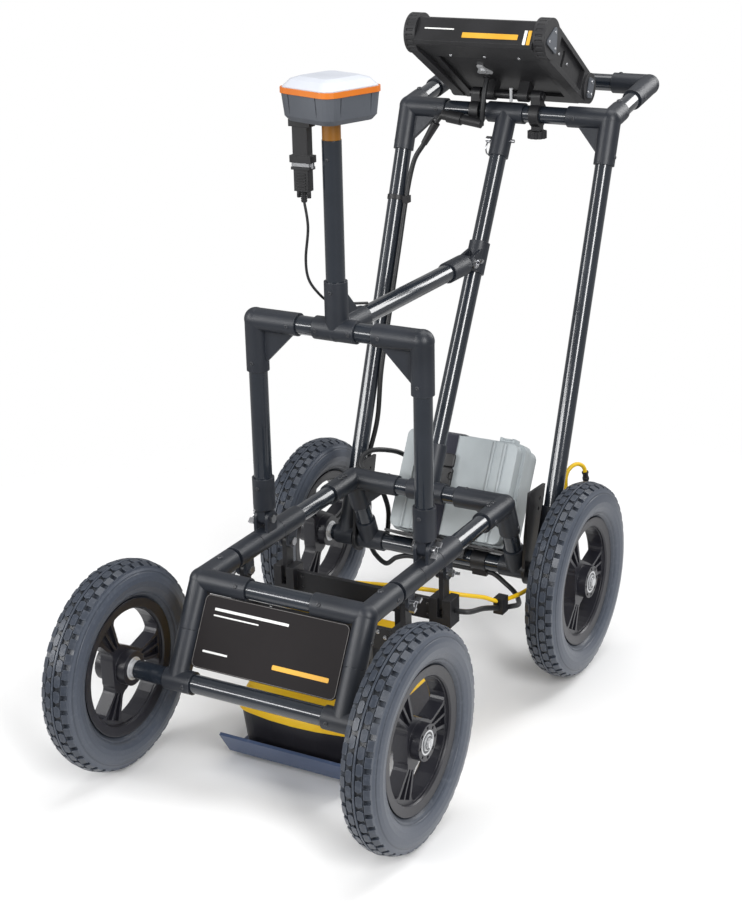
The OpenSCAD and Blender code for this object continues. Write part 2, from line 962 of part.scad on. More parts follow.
module link(y) {
  difference() {
    union() {
      side_plate(hw - link_t / 2, link_t)
        translate([y, hang_z])
          circle(r = 9.5);
      side_plate(hw - link_t / 2, link_t)
        translate([y, low_z])
          circle(r = 9.5);
      translate([hw - link_t / 2, y - 9.5, low_z])
        cube([link_t, 19, link_l]);
    }
    rod([hw - 20, y, hang_z], [hw + 20, y, hang_z], piv_r + run);
    rod([hw - 20, y, low_z], [hw + 20, y, low_z], piv_r + run);
  }
}

module front_links() {
  color([0.09, 0.09, 0.1])
    both()
      link(hang_f);
}

module rear_links() {
  color([0.09, 0.09, 0.1])
    both()
      link(hang_r);
}

// End blocks of the cross plates: a clevis round the lower end of each link
blk_w = 18;

module hanger_block(y) {
  difference() {
    translate([hw - blk_w, y - 15, low_z - 28])
      cube([2 * blk_w, 30, 44]);
    translate([hw - link_t / 2 - gap, y - 20, low_z - 14])
      cube([link_t + 2 * gap, 40, 60]);
  }
  rod([hw - blk_w + 2, y, low_z], [hw + blk_w - 2, y, low_z], piv_r);
}

module sensor_frame() {
  color([0.08, 0.08, 0.09]) {
    for (y = [hang_f, hang_r]) {
      both()
        hanger_block(y);
      difference() {
        union() {
          translate([blk_w + 0.2 - hw, y - 4, low_z - 26])
            cube([2 * (hw - blk_w - 0.2), 8, 34]);
          for (s = [-1, 1])
            translate([s * 66 - 12, y - 4, deck_top + 5.2])
              cube([24, 8, low_z - 20 - deck_top - 5.2]);
        }
        for (s = [-1, 1], k = [-9, 9])
          translate([s * (hw - blk_w - 9), y, low_z - 9 + k])
            rotate([90, 0, 0])
              cylinder(r = 2.5, h = 20, center = true);
      }
    }
    translate([-86, gate_y - 86, deck_top + 0.1])
      cube([172, 172, 5]);
  }
}

// Plan of the sensor: round corners and a front edge that bows forwards
bow = 9;
function plan(w, l, r) = concat(
  arc(w / 2 - r, l / 2 - r, r, 0, 90, 5),
  arc(r - w / 2, l / 2 - r, r, 90, 180, 5),
  arc(r - w / 2, r + bow - l / 2, r, 180, 258, 5),
  [for (t = [-0.5, -0.25, 0, 0.25, 0.5]) [t * (w - 2 * r), bow * 4 * t * t * 0.9 - l / 2]],
  arc(w / 2 - r, r + bow - l / 2, r, 282, 360, 5)
);

module sensor_tub() {
  color([0.05, 0.05, 0.06])
    translate([0, gate_y, tub_z])
      scale([0.94, 0.955, 1])
        linear_extrude(height = cover_z - tub_z, scale = 1.05)
          polygon(plan(sensor_w, sensor_l, 30));
}

module sensor_cover() {
  color([0.95, 0.75, 0.05])
    translate([0, gate_y, cover_z + 0.1]) {
      linear_extrude(height = 10)
        polygon(plan(sensor_w + 4, sensor_l + 6, 32));
      translate([0, 0, 10])
        linear_extrude(height = deck_top - cover_z - 10.1, scale = 0.9)
          polygon(plan(sensor_w + 4, sensor_l + 6, 32));
    }
}

module skid() {
  z = skid_gap;
  y = sen_f;
  color([0.18, 0.26, 0.5])
    side_plate(-sensor_w / 2, sensor_w)
      polygon([
        [y + 2, z], [y + sensor_l, z], [y + sensor_l, z + skid_t], [y + 5, z + skid_t],
        [y - 3, z + 9], [y - 28, z + 46], [y - 32.2, z + 43.4], [y - 7, z + 5]
      ]);
}

// Battery case on its tray

module on_slope() {
  translate([0, rear_y, deck_z])
    rotate([atan2(cpole[2], cpole[1]), 0, 0])
      children();
}
// Point given in the slope frame
function slope_pt(x, s, n) = [
  x, rear_y + s * cpole[1] - n * cpole[2], deck_z + s * cpole[2] + n * cpole[1]
];
case_bot = ax_s + tr + st + 7;
case_mid = case_bot + case_h / 2;

module case_tray() {
  color([0.07, 0.07, 0.08])
    difference() {
      on_slope() {
        translate([case_x - case_w / 2 + 2, case_bot - st - 4.6, -case_lift - case_d - 8])
          cube([case_w - 12, 4, case_d + 10]);
        translate([case_x - case_w / 2 + 2, case_bot - st - 4.6, -case_lift - case_d - 8])
          cube([case_w - 12, 60, 4]);
        for (x = [-36, 36])
          translate([x - 12, ax_s - 4, -ax_n - 22])
            cube([24, case_bot - st - ax_s, 44]);
      }
      rod([-hw, wheelbase, R], [hw, wheelbase, R], br);
    }
}

module case_slab(z0, z1, w, h, r) {
  on_slope()
    translate([case_x, case_mid, z0])
      linear_extrude(height = z1 - z0)
        polygon(round_rect(w, h, r));
}

seam = -case_lift - lid_d;
// Half thickness of the lip round the seam, the step behind it and the height of the lid's ribs
lip = 12;
step = 4;
rib_t = 3;
// Middle of a latch from the middle of the case, its width, and the spacing of the rib pairs
latch_x = case_w / 2 - 38;
latch_w = 26;
rib_in = 10;

module case_base() {
  color([0.62, 0.64, 0.66]) {
    case_slab(seam - lip, seam - 0.1, case_w, case_h, 14);
    case_slab(-case_lift - case_d, seam - lip + 2, case_w - 3 * step, case_h - 2 * step, 14);
  }
}

module case_lid() {
  color([0.62, 0.64, 0.66]) {
    case_slab(seam + 0.1, seam + lip, case_w, case_h, 14);
    case_slab(seam + lip - 2, -case_lift - rib_t, case_w - 3 * step, case_h - 2 * step, 12);
    for (s = [-1, 1], x = [latch_x - rib_in, latch_x + rib_in])
      on_slope()
        translate([case_x + s * x - 2, case_mid - case_h / 2 + step + 1, -case_lift - rib_t - 2])
          cube([4, case_h - 2 * step - 2, rib_t + 2]);
  }
}

// Latches over the seam: a plate between two cheeks on the top, low hinges on the bottom
module case_latches() {
  color([0.6, 0.62, 0.64])
    for (s = [-1, 1])
      on_slope()
        translate([case_x + s * latch_x, case_mid, seam]) {
          translate([0, case_h / 2 + 0.1, 0]) {
            translate([-latch_w / 2, 0, -lip])
              cube([latch_w, 3, 2 * lip]);
            for (x = [-1, 1])
              translate([x * (latch_w / 2 - 2) - 2, 0, -lip])
                cube([4, 7, 2 * lip]);
            translate([-latch_w / 2, 5, 1])
              rotate([0, 90, 0])
                cylinder(r = 2.2, h = latch_w, $fn = 16);
          }
          for (x = [-1, 1])
            translate([x * (latch_w / 2 - 4) - 4, -case_h / 2 - 2.2, -lip])
              cube([8, 2.1, 2 * lip]);
        }
}

// Webbing band round the case, left of its middle, and the side release buckle on it
strap_x = case_x - 26;
strap_w = 38;
buckle_w = strap_w + 8;

module straps() {
  lo = case_mid - case_h / 2 - 0.2;
  hi = case_mid + case_h / 2 + 0.2;
  bk = -case_lift - case_d - 0.2;
  ft = -case_lift - rib_t + 0.2;
  color([0.06, 0.06, 0.08])
    on_slope()
      translate([strap_x, 0, 0]) {
        rotate([90, 0, 90])
          linear_extrude(height = strap_w, center = true)
            difference() {
              polygon([
                [lo - st, seam - lip], [lo + step - st, bk - st],
                [hi - step + st, bk - st], [hi + st, seam - lip],
                [hi + st, seam + lip], [hi - step + st, ft + st],
                [lo + step - st, ft + st], [lo - st, seam + lip]
              ]);
              polygon([
                [lo, seam - lip], [lo + step, bk], [hi - step, bk], [hi, seam - lip],
                [hi, seam + lip], [hi - step, ft], [lo + step, ft], [lo, seam + lip]
              ]);
            }
        translate([0, case_mid + 10, ft + st + 0.1]) {
          linear_extrude(height = 8)
            difference() {
              polygon(round_rect(buckle_w, 36, 6));
              for (x = [-1, 1])
                translate([x * buckle_w / 2, 4])
                  polygon(round_rect(9, 15, 3));
            }
          translate([0, 30, 0])
            linear_extrude(height = 6)
              difference() {
                polygon(round_rect(buckle_w - 2, 23, 4));
                translate([0, 5])
                  square([strap_w - 4, 5], center = true);
              }
        }
      }
}

// Cables: one run from the display down the left pole and along the rear axle to the sensor,
// a lead from the battery case, and a thinner one from the sensor to the wheel sensor
cable_r = 4.2;
lead_r = 3.4;
pin_x = hx - tr - cable_r - gap;
under = R - tr - cable_r - gap;
// Left side of the case, and a place on the way from the rear hanger back to the axle
case_left = case_x - case_w / 2;
function run_y(t) = hang_r + t * (wheelbase - hang_r);
plug_a = [-34, handle_y - 28, handle_z - 16];
plug_b = [-106, handle_y - 28, handle_z - 6];
tail_route = [
  [-30, handle_y - 14.6, disp_piv_z + 26.6],
  [-30, handle_y - 21, disp_piv_z + 16],
  [-30, handle_y - 26, disp_piv_z + 2],
  [-31, handle_y - 29, handle_z + 8],
  plug_a + [1, 0, 4]
];
boot_a = [-118, handle_y - 28, handle_z - 20];
boot_b = [-140, handle_y - 30, handle_z - 56];
main_route = [
  plug_b,
  boot_a,
  boot_b,
  [-156, handle_y - 37, handle_z - 86],
  [-pin_x, pole_pt(710), 710],
  [-pin_x, pole_pt(630), 630],
  [-pin_x, pole_pt(530), 530],
  [-pin_x, pole_pt(430), 430],
  [-hx + 17, pole_pt(345) + 16, 345],
  [-hx + 6, pole_pt(275) + 24, 275],
  [-hx + 4, pole_pt(215) + 26, 215],
  [-hx + 8, wheelbase + 38, R + 6],
  [-hx + 24, wheelbase + 36, R - 30],
  [-hx + 46, wheelbase + 16, R - 37],
  [-hx + 76, wheelbase - 3, R - 39],
  [-88, wheelbase - 1, R - 26],
  [-66, wheelbase, under],
  [-40, wheelbase, under],
  [10, wheelbase, under],
  [58, wheelbase, under],
  [84, wheelbase, under],
  [hx - 84, wheelbase - 1, under - 2],
  [hx - 66, wheelbase - 5, R - 29],
  [hx - 42, run_y(0.932), R - 36],
  [hx - 22, run_y(0.827), R - 34],
  [hx - 4, run_y(0.677), R - 22],
  [hx + 6, run_y(0.489), R - 2],
  [hx + 6, run_y(0.346), R + 12],
  [hx + 2, run_y(0.15), low_z - 12],
  [hw + 41, hang_r + 8, low_z - 5],
  [hw + 29, hang_r, low_z - 4],
  [hw + blk_w + 0.6, hang_r, low_z - 4]
];
batt_route = [
  slope_pt(case_left + 1.5 * step - 0.5, case_mid + 38.3, -case_lift - 67.5),
  slope_pt(case_left - 9, case_mid + 39, -case_lift - 62.5),
  [case_left - 24, rear_y + 116, deck_z + 11],
  [case_left - 42, rear_y + 73, deck_z + 25],
  [case_left - 50, rear_y + 46, deck_z + 21],
  [case_left - 44, rear_y + 33, deck_z + 7],
  [case_left - 26, rear_y + 35, deck_z - 5],
  [case_left - 17, rear_y + 46, deck_z - 27],
  [case_left - 17, rear_y + 72, deck_z - 76],
  [case_left - 23, wheelbase + 28, R + 8],
  [case_left - 24, wheelbase + 16, R - 24]
];
odo_route = [
  [-30, hang_r + 8, low_z + 2],
  [36, hang_r + 21, low_z + 4],
  [100, hang_r + 29, low_z + 6],
  [hw + 9, hang_r + 38, low_z + 4],
  [hw + 33, run_y(0.256), low_z - 8],
  [hx + 6, run_y(0.346), R + 24],
  [hx + 18, run_y(0.639), R + 14],
  [hx + fr + 7, wheelbase - 38, R + 30],
  [hx + fr + 7, wheelbase + 14, R + 62],
  [hx + fr + 5, wheelbase + 55, R + 96],
  [hx + 9, wheelbase + 84, R + 134],
  [hx + 6, wheelbase + 94, R + 157],
  [hx + 15, wheelbase + 98, R + 161],
  [hx + 23, wheelbase + 107, R + 143],
  [hx + 24, wheelbase + 116, R + 108],
  [hx + 18, wheelbase + 112, R + 70],
  [hx + 8, wheelbase + 84, R + 36],
  [hx + 1, wheelbase + fr + 25, R + 12],
  [hx, wheelbase + fr + 8, R - 3.6]
];

module black_cables() {
  color([0.03, 0.03, 0.04]) {
    cord(smooth(tail_route, 2), cable_r, 10, UX);
    cord(smooth(main_route, 2), cable_r, 10, UX);
    cord(smooth(batt_route, 2), cable_r, 10, UZ);
  }
}

module odometer_cable() {
  color([0.9, 0.75, 0.05])
    cord(smooth(odo_route, 2), lead_r, 8, UZ);
}

// Sleeve that wraps a tube from a to b
module wrap(a, b, t) {
  difference() {
    union() {
      rod(a, b, tr + t);
      children();
    }
    rod(a * 2 - b, b * 2 - a, br);
  }
}

// Plug, wraps, tie and wheel sensor that hold the cables
tie_z = 702;
module cable_fittings() {
  t = [-hx, pole_pt(tie_z), tie_z];
  color([0.07, 0.07, 0.08]) {
    rod(plug_a, plug_b, 8);
    rod(plug_a * 0.5 + plug_b * 0.5, plug_a * 0.15 + plug_b * 0.85, 10.5);
    aim(boot_a, boot_b)
      cylinder(r1 = 7.5, r2 = 5.5, h = norm(boot_b - boot_a));
    translate([hx - 14, wheelbase + fr + 0.2, R - 30])
      cube([28, 14, 26]);
    wrap([58, wheelbase, R], [84, wheelbase, R], 1.8)
      translate([58, wheelbase - cable_r - 2, under - cable_r - 2])
        cube([26, 2 * cable_r + 4, cable_r + 6]);
    wrap(t, t + pole * 8, 1.6)
      translate([-pin_x - cable_r, t[1] - 5, tie_z - 3])
        cube([2 * cable_r + 1.6, 13, 12]);
    translate([hx - 2, run_y(0.346) - 10, R + 5])
      cube([16, 20, 26]);
  }
}

// Display on its mount

module at_display() {
  translate([0, handle_y, disp_piv_z])
    rotate([-display_tilt, 0, 0])
      children();
}
mount_x = 54;
rod_r = 6;

module display_mount() {
  color([0.1, 0.1, 0.11])
    difference() {
      union() {
        for (x = [-mount_x, mount_x]) {
          translate([x - 8, 0, 0])
            rod([0, handle_y, handle_z], [16, handle_y, handle_z], tr + 6);
          translate([x - 8, handle_y - 10, handle_z])
            cube([16, 20, disp_piv_z - handle_z]);
          rod([x - 8, handle_y, disp_piv_z], [x + 8, handle_y, disp_piv_z], 10);
          translate([x - 8, handle_y - 7, handle_z - tr - 12])
            cube([16, 14, 12]);
        }
        rod([-mount_x - 12, handle_y, disp_piv_z], [mount_x + 12, handle_y, disp_piv_z], rod_r);
      }
      rod([-100, handle_y, handle_z], [100, handle_y, handle_z], br);
      translate([mount_x, handle_y, handle_z - tr - 20])
        cylinder(r = 3 + run, h = 14);
    }
}

module mount_knob() {
  z = handle_z - tr - 12;
  color([0.08, 0.08, 0.09])
    translate([mount_x, handle_y, 0]) {
      translate([0, 0, z - gap - 12])
        difference() {
          cylinder(r = 16, h = 12);
          for (a = [0 : 30 : 330])
            rotate([0, 0, a])
              translate([17.2, 0, -1])
                cylinder(r = 2.6, h = 14, $fn = 16);
        }
      translate([0, 0, z - gap - 1])
        cylinder(r = 3, h = 6);
    }
}

// Front roll centre in the display frame, and the slope of the side rails from roll to roll
fy = -(display_l - disp_back);
rail_a = asin((roll_f - roll_r) / display_l);
function rail_h(y) = roll_f / cos(rail_a) - (y - fy) * tan(rail_a);
rail_t = 9;
// Depth of the hollow under the display, and the places of its latch and cable gland
under_in = 5;
under_z = disp_up - 22 + under_in;
latch_at = [-28, -52];
gland_at = [-30, -26.5];

module display_body() {
  color([0.09, 0.09, 0.1])
    at_display() {
      difference() {
        union() {
          side_plate(-body_w / 2, body_w)
            polygon([
              [fy - 26, disp_up - 24], [fy - 22, disp_up - 29], [fy + 20, disp_up - 24],
              [fy + 38, disp_up - 22], [disp_back + 14, disp_up - 22],
              [disp_back + 21, disp_up - 14], [disp_back + 21, disp_up + 12], [disp_back + 14, disp_up + 20],
              [fy - 16, disp_up + 21], [fy - 26, disp_up + 15]
            ]);
          for (x = [-mount_x + 24, mount_x - 24]) {
            translate([x - 9, -10, 0])
              cube([18, 20, under_z + 1]);
            rod([x - 9, 0, 0], [x + 9, 0, 0], 10);
          }
        }
        difference() {
          translate([-body_w / 2 + 16, fy + 38, under_z - 20])
            cube([body_w - 32, display_l - 48, 20]);
          for (x = [-mount_x + 24, mount_x - 24])
            translate([x - 9, -10, under_z - 30])
              cube([18, 20, 40]);
          translate([gland_at.x, gland_at.y, disp_up - 22])
            cylinder(r = 7, h = 20);
        }
        rod([-100, 0, 0], [100, 0, 0], rod_r + run);
        translate([-body_w / 2 + 14, fy + 6, disp_up + 17.6])
          cube([body_w - 28, display_l - 44, 20]);
        translate([latch_at.x, latch_at.y, under_z - 8])
          cylinder(r = 3 + run, h = 14);
      }
    }
}

module display_bumpers() {
  color([0.04, 0.04, 0.05])
    both()
      at_display()
        difference() {
          union() {
            rod([body_w / 2 + 0.1, fy, disp_up], [body_w / 2 + bump_t, fy, disp_up], roll_f);
            rod([body_w / 2 + 0.1, disp_back, disp_up], [body_w / 2 + bump_t, disp_back, disp_up], roll_r);
            side_plate(body_w / 2 + 0.1, bump_t - 3)
              polygon([for (s = [-1, 1], e = [-s, s])
                [fy + (e < 0 ? 0 : display_l), disp_up]
                  + ((e < 0 ? roll_f : roll_r) - 0.6) * [sin(rail_a), s * cos(rail_a)]]);
          }
          // Hollow between the rails, with a deeper slot for the port cover
          side_plate(body_w / 2 + bump_t - 9, 20)
            polygon([
              for (y = [fy + 38, disp_back - 30]) [y, disp_up + rail_h(y) - rail_t],
              for (y = [disp_back - 30, fy + 38]) [y, disp_up - rail_h(y) + rail_t]
            ]);
          side_plate(body_w / 2 + bump_t - 13, 20)
            polygon([for (q = round_rect(9, 28, 4)) [fy + 74 + q.x, disp_up + q.y]]);
          for (a = [84 : 16 : 276])
            translate([body_w / 2 + 4, fy + (roll_f + 1) * cos(a), disp_up + (roll_f + 1) * sin(a)])
              rotate([0, 90, 0])
                cylinder(r = 2.4, h = bump_t - 8, $fn = 12);
        }
}

module display_screen() {
  color([0.05, 0.07, 0.09])
    at_display()
      translate([-body_w / 2 + 14.4, fy + 6.4, disp_up + 17.7])
        cube([body_w - 28.8, display_l - 44.8, 2.4]);
}

// Grey plates on the bumper ends
module display_plates() {
  color([0.45, 0.46, 0.47])
    both()
      at_display()
        side_plate(body_w / 2 + bump_t + 0.1, 2) {
          polygon(concat(
            arc(fy + 2, disp_up + 14, 6, 20, 160, 5), arc(fy - 14, disp_up - 12, 5, 170, 280, 4),
            arc(fy + 16, disp_up - 12, 5, 260, 370, 4)
          ));
          polygon(concat(
            arc(disp_back + 4, disp_up + 13, 4, 0, 100, 4), arc(disp_back - 10, disp_up + 11, 4, 80, 190, 4),
            arc(disp_back - 4, disp_up - 13, 5, 180, 300, 4), arc(disp_back + 7, disp_up - 9, 5, 270, 360, 4)
          ));
        }
}

module display_latch() {
  color([0.55, 0.55, 0.56])
    at_display()
      translate([latch_at.x, latch_at.y, under_z - gap]) {
        translate([0, 0, -3])
          linear_extrude(height = 3)
            difference() {
              polygon([[-5, -16], [5, -16], [6, -6], [14, 9], [11, 13], [-11, 13], [-14, 9], [-6, -6]]);
              for (x = [-9, 9])
                translate([x, 9])
                  circle(r = 1.6);
            }
        translate([0, 0, -5])
          cylinder(r = 5, h = 3);
        translate([0, 0, -1])
          cylinder(r = 3, h = 7);
      }
}

module place() {
  translate([0, y_f, 0])
    children();
}

place() tyre_fl();
place() tyre_fr();
place() tyre_rl();
place() tyre_rr();
place() rim_fl();
place() rim_fr();
place() rim_rl();
place() rim_rr();
place() stub_axles();
place() wheel_bearings();
place() frame_tubes();
place() axle_tees();
place() front_corners();
place() rear_corners();
place() side_plates();
place() front_panel();
place() gate_forks();
place() hanger_forks();
place() pivot_bolts();
place() wing_nuts();
place() pole_feet();
place() handle_poles();
place() centre_pole();
place() handle_fittings();
place() handle_tubes();
place() pull_pin();
place() strut_saddle();
place() gate_tubes();
place() gate_sockets();
place() gate_corners();
place() mast_tee();
place() mast_tubes();
place() strut_hook();
place() mast_collar();
place() receiver_base();
place() receiver_band();
place() receiver_dome();
place() receiver_plug();
place() receiver_cable();
place() front_links();
place() rear_links();
place() sensor_frame();
place() sensor_tub();
place() sensor_cover();
place() skid();
place() case_tray();
place() case_base();
place() case_lid();
place() case_latches();
place() straps();
place() black_cables();
place() odometer_cable();
place() cable_fittings();
place() display_mount();
place() mount_knob();
place() display_body();
place() display_bumpers();
place() display_screen();
place() display_plates();
place() display_latch();
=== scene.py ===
# %% [markdown]
# # A radar survey cart, dressed step by step
# The cart comes from a CAD model with real joints: four wheels that roll, a mast that
# folds, a sensor that swings on links and a display that tilts. This lesson loads that
# model as a fixed frame and gives it the looks of a studio photograph: finishes made of
# shader nodes, and the small pieces that are too fine or too soft for the CAD model.

# %% Load the frame
import json
import math

import bpy
from mathutils import Matrix, Vector


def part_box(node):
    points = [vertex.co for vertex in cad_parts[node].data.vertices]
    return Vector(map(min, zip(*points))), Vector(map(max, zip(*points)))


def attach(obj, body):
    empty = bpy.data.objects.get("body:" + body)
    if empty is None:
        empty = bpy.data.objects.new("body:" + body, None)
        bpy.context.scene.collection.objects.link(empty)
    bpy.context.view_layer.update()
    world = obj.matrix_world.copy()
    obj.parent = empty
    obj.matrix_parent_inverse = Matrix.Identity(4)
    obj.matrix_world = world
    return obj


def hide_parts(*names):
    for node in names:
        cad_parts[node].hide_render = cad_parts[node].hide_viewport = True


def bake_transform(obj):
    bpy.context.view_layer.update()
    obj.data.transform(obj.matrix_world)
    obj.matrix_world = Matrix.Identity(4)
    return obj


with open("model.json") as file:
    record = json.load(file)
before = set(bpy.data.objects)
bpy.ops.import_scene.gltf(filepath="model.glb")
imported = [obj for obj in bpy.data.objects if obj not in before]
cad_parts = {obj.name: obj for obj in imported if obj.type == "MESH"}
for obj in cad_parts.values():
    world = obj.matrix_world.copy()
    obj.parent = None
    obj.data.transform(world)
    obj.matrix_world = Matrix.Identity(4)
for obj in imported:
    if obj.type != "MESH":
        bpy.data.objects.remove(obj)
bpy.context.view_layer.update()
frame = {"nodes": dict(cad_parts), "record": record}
nodes = frame["nodes"]

# %% [markdown]
# ## One set of numbers
# The CAD model measures the cart in millimetres from the ground under the front axle. The
# same numbers are handy here, so one function turns them into Blender's metres. Where the
# front axle lies is read from a tyre's box, not written a second time.

# %% Numbers of the cart, in millimetres
lo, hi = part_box("tyre_fl")
FRONT_AXLE = (lo.y + hi.y) / 2  # this one in metres, as the frame has it
RADIUS = (hi.z - lo.z) / 2 * 1000
TUBE, SOCKET = 14.0, 17.1  # outer radii of a tube and of the fittings on it
HALF_RAIL, HALF_POLE = 137.0, 182.0  # from the middle to a side rail and to a side pole
BASE, DECK = 575.0, 288.0  # wheelbase, and height of the rails
FRONT, REAR = 72.0, 523.0  # ends of the rails
GATE_Y, GATE_Z, RAIL_PIVOT = 248.0, 634.0, 320.1  # mast frame, its top and its pivot
TOP_Y, TOP_Z = 825.0, 853.0  # top tube of the handle
GRIP_Y, GRIP_Z = 170.0, 31.0  # from there to the push bar
HANG_F, HANG_R, LOW_Z = 187.0, 309.0, 202.9  # front and rear links, and their lower pins
CASE_X, CASE_W, CASE_H, CASE_D = 11.0, 214.0, 176.0, 90.0  # battery case


def at(x, y, z):
    """A point of the cart in millimetres, as a Blender point in metres."""
    return Vector((x / 1000, y / 1000 + FRONT_AXLE, z / 1000))


def pole_y(z):
    """Where the side pole's axis is at a height."""
    return BASE + (z - RADIUS) * (TOP_Y - BASE) / (TOP_Z - RADIUS)


print("front axle at y =", round(FRONT_AXLE, 4), "m, wheel radius", round(RADIUS, 1), "mm")

# %% [markdown]
# ## Camera
# A camera could be turned by eye until it looks right. Here it was solved from the wheels
# and the frame corners of the photograph, which gives the place, the two angles, a small
# roll and the focal length. The matrix is built from the right, up and back directions.

# %% The camera at the photograph's angle
AZIMUTH, ELEVATION, ROLL = (math.radians(a) for a in (29.3, 20.3, -1.3))
CAMERA_PLACE = (1227.4, -1848.3, 1346.0)
FOCAL_PIXELS, PHOTO_HEIGHT, SENSOR = 1768, 903, 36.0
back = Vector((
    math.sin(AZIMUTH) * math.cos(ELEVATION),
    -math.cos(AZIMUTH) * math.cos(ELEVATION),
    math.sin(ELEVATION),
))
level = (-back).cross(Vector((0, 0, 1))).normalized()
upright = level.cross(-back)
right = level * math.cos(ROLL) + upright * math.sin(ROLL)
up = upright * math.cos(ROLL) - level * math.sin(ROLL)
aim = Matrix((right, up, back)).transposed().to_4x4()

lens = bpy.data.cameras.new("photo_camera")
lens.sensor_fit = "VERTICAL"
lens.sensor_height = SENSOR
lens.lens = SENSOR * FOCAL_PIXELS / PHOTO_HEIGHT
lens.clip_end = 50
camera = bpy.data.objects.new("photo_camera", lens)
camera.matrix_world = Matrix.Translation(at(*CAMERA_PLACE)) @ aim
bpy.context.scene.collection.objects.link(camera)
bpy.context.scene.camera = camera
bpy.context.scene.view_settings.view_transform = "Standard"
print("lens", round(lens.lens, 2), "mm")

# %% [markdown]
# ## Finishes as sums
# A shader is a small calculation for each point of a surface. Wiring it by hand takes many
# lines, so a class wraps one socket and lets Python's operators add the Math nodes. A
# second class holds one finish and makes every other node by one method: the settings go
# in first, because they can change which sockets a node has, and then its inputs.


# %% Sockets that can be added and multiplied
class Wire:
    """The output of a node; +, - and * on it, and abs(), add Math nodes."""

    def __init__(self, finish, socket):
        self.finish = finish
        self.socket = socket

    def math(self, operation, a, b):
        return self.finish.node("Math", {"operation": operation}, {0: a, 1: b})

    def __add__(self, other):
        return self.math("ADD", self, other)

    def __sub__(self, other):
        return self.math("SUBTRACT", self, other)

    def __rsub__(self, other):
        return self.math("SUBTRACT", other, self)

    def __mul__(self, other):
        return self.math("MULTIPLY", self, other)

    def __abs__(self):
        return self.math("ABSOLUTE", self, 0.0)


# %% One finish with its nodes
class Finish:
    """A material: fixed numbers on the shader's own sockets, and wires into the others."""

    def __init__(self, name, **fixed):
        self.material = bpy.data.materials.new(name)
        self.material.use_nodes = True
        self.tree = self.material.node_tree
        self.shader = self.tree.nodes["Principled BSDF"]
        self.set(**fixed)
        self.place = self.node("TexCoord", out="Object")

    def node(self, kind, settings=None, inputs=None, out=0):
        """Add a node with its settings and inputs, and return one of its outputs."""
        made = self.tree.nodes.new("ShaderNode" + kind)
        for key, value in (settings or {}).items():
            setattr(made, key, value)
        for key, value in (inputs or {}).items():
            self.feed(made.inputs[key], value)
        return Wire(self, made.outputs[out])

    def feed(self, socket, value):
        """Link a wire to a socket, or write a plain value into it."""
        if isinstance(value, Wire):
            self.tree.links.new(value.socket, socket)
        else:
            socket.default_value = value

    def set(self, **values):
        """Feed the shader's own sockets."""
        for socket, value in values.items():
            self.feed(self.shader.inputs[socket.replace("_", " ")], value)

    def noise(self, scale, detail=3.0, rough=0.5, stretch=(1, 1, 1)):
        """Clouds of one scale, drawn out along an axis whose stretch is small."""
        spot = self.node("Mapping", None, {"Vector": self.place, "Scale": stretch})
        return self.node(
            "TexNoise", None,
            {"Vector": spot, "Scale": scale, "Detail": detail, "Roughness": rough},
        )

    def ramp(self, value, low, high):
        """0 below the low end, 1 above the high one and a straight line between them."""
        return self.node(
            "MapRange", {"clamp": True},
            {"Value": value, "From Min": low, "From Max": high},
        )

    def mix(self, factor, first, second):
        """A colour between two others."""
        return self.node(
            "Mix", {"data_type": "RGBA"},
            {0: factor, 6: first, 7: second}, out=2,
        )

    def sideways(self):
        """1 where a face looks along X, as the walls of a tyre do, and 0 on its tread."""
        facing = self.node("NewGeometry", out="Normal")
        across = self.node("SeparateXYZ", None, {0: facing}, out="X")
        return self.ramp(across * across, 0.25, 0.75)

    def in_wheel(self, width, height):
        """Millimetres from the axle and from the middle plane, in the box of a wheel."""
        box = Vector((width, height, height))
        spot = self.node("TexCoord", out="Generated")
        spot = self.node(
            "VectorMath", {"operation": "MULTIPLY_ADD"}, {0: spot, 1: box, 2: -box / 2}
        )
        flat = self.node("VectorMath", {"operation": "MULTIPLY"}, {0: spot, 1: (0, 1, 1)})
        away = self.node("VectorMath", {"operation": "LENGTH"}, {0: flat}, out="Value")
        return away, self.node("SeparateXYZ", None, {0: spot}, out="X")

    def line(self, value, middle, width):
        """1 where a value is close to its middle, and 0 further off than the width."""
        return 1.0 - self.ramp(abs(value - middle), width * 0.4, width)

    def softened(self, radius):
        """The surface's direction, with the corners of the mesh rounded by a radius."""
        return self.node("Bevel", {"samples": 4}, {"Radius": radius})

    def edges(self, radius):
        """1 along the sharp edges of a mesh and 0 on its flats."""
        flat = self.node("NewGeometry", out="Normal")
        match = self.node(
            "VectorMath", {"operation": "DOT_PRODUCT"},
            {0: self.softened(radius), 1: flat}, out="Value",
        )
        return self.ramp(1.0 - match, 0.02, 0.3)

    def relief(self, value, depth, edge=0.0):
        """Bump from a value; edge also rounds the corners of the mesh by that radius."""
        inputs = {"Height": value, "Distance": depth, "Strength": 1.0}
        if edge:
            inputs["Normal"] = self.softened(edge)
        return self.node("Bump", None, inputs)


def rgb(red, green, blue):
    """A colour as it looks on a screen, 0 to 255, in the linear numbers of a shader."""
    def linear(v):
        v = v / 255
        return v / 12.92 if v <= 0.04045 else ((v + 0.055) / 1.055) ** 2.4
    return (linear(red), linear(green), linear(blue), 1.0)


# %% [markdown]
# ## The finishes
# Most of the cart is moulded plastic and coated tube, so one recipe serves them: a colour
# that drifts a little between two close tones, a roughness that follows the same clouds as
# hands and cloths leave them, and a fine bump for the grain of the mould. Each piece then
# gets its own numbers. The edge radius makes the sharp CAD corners catch light.


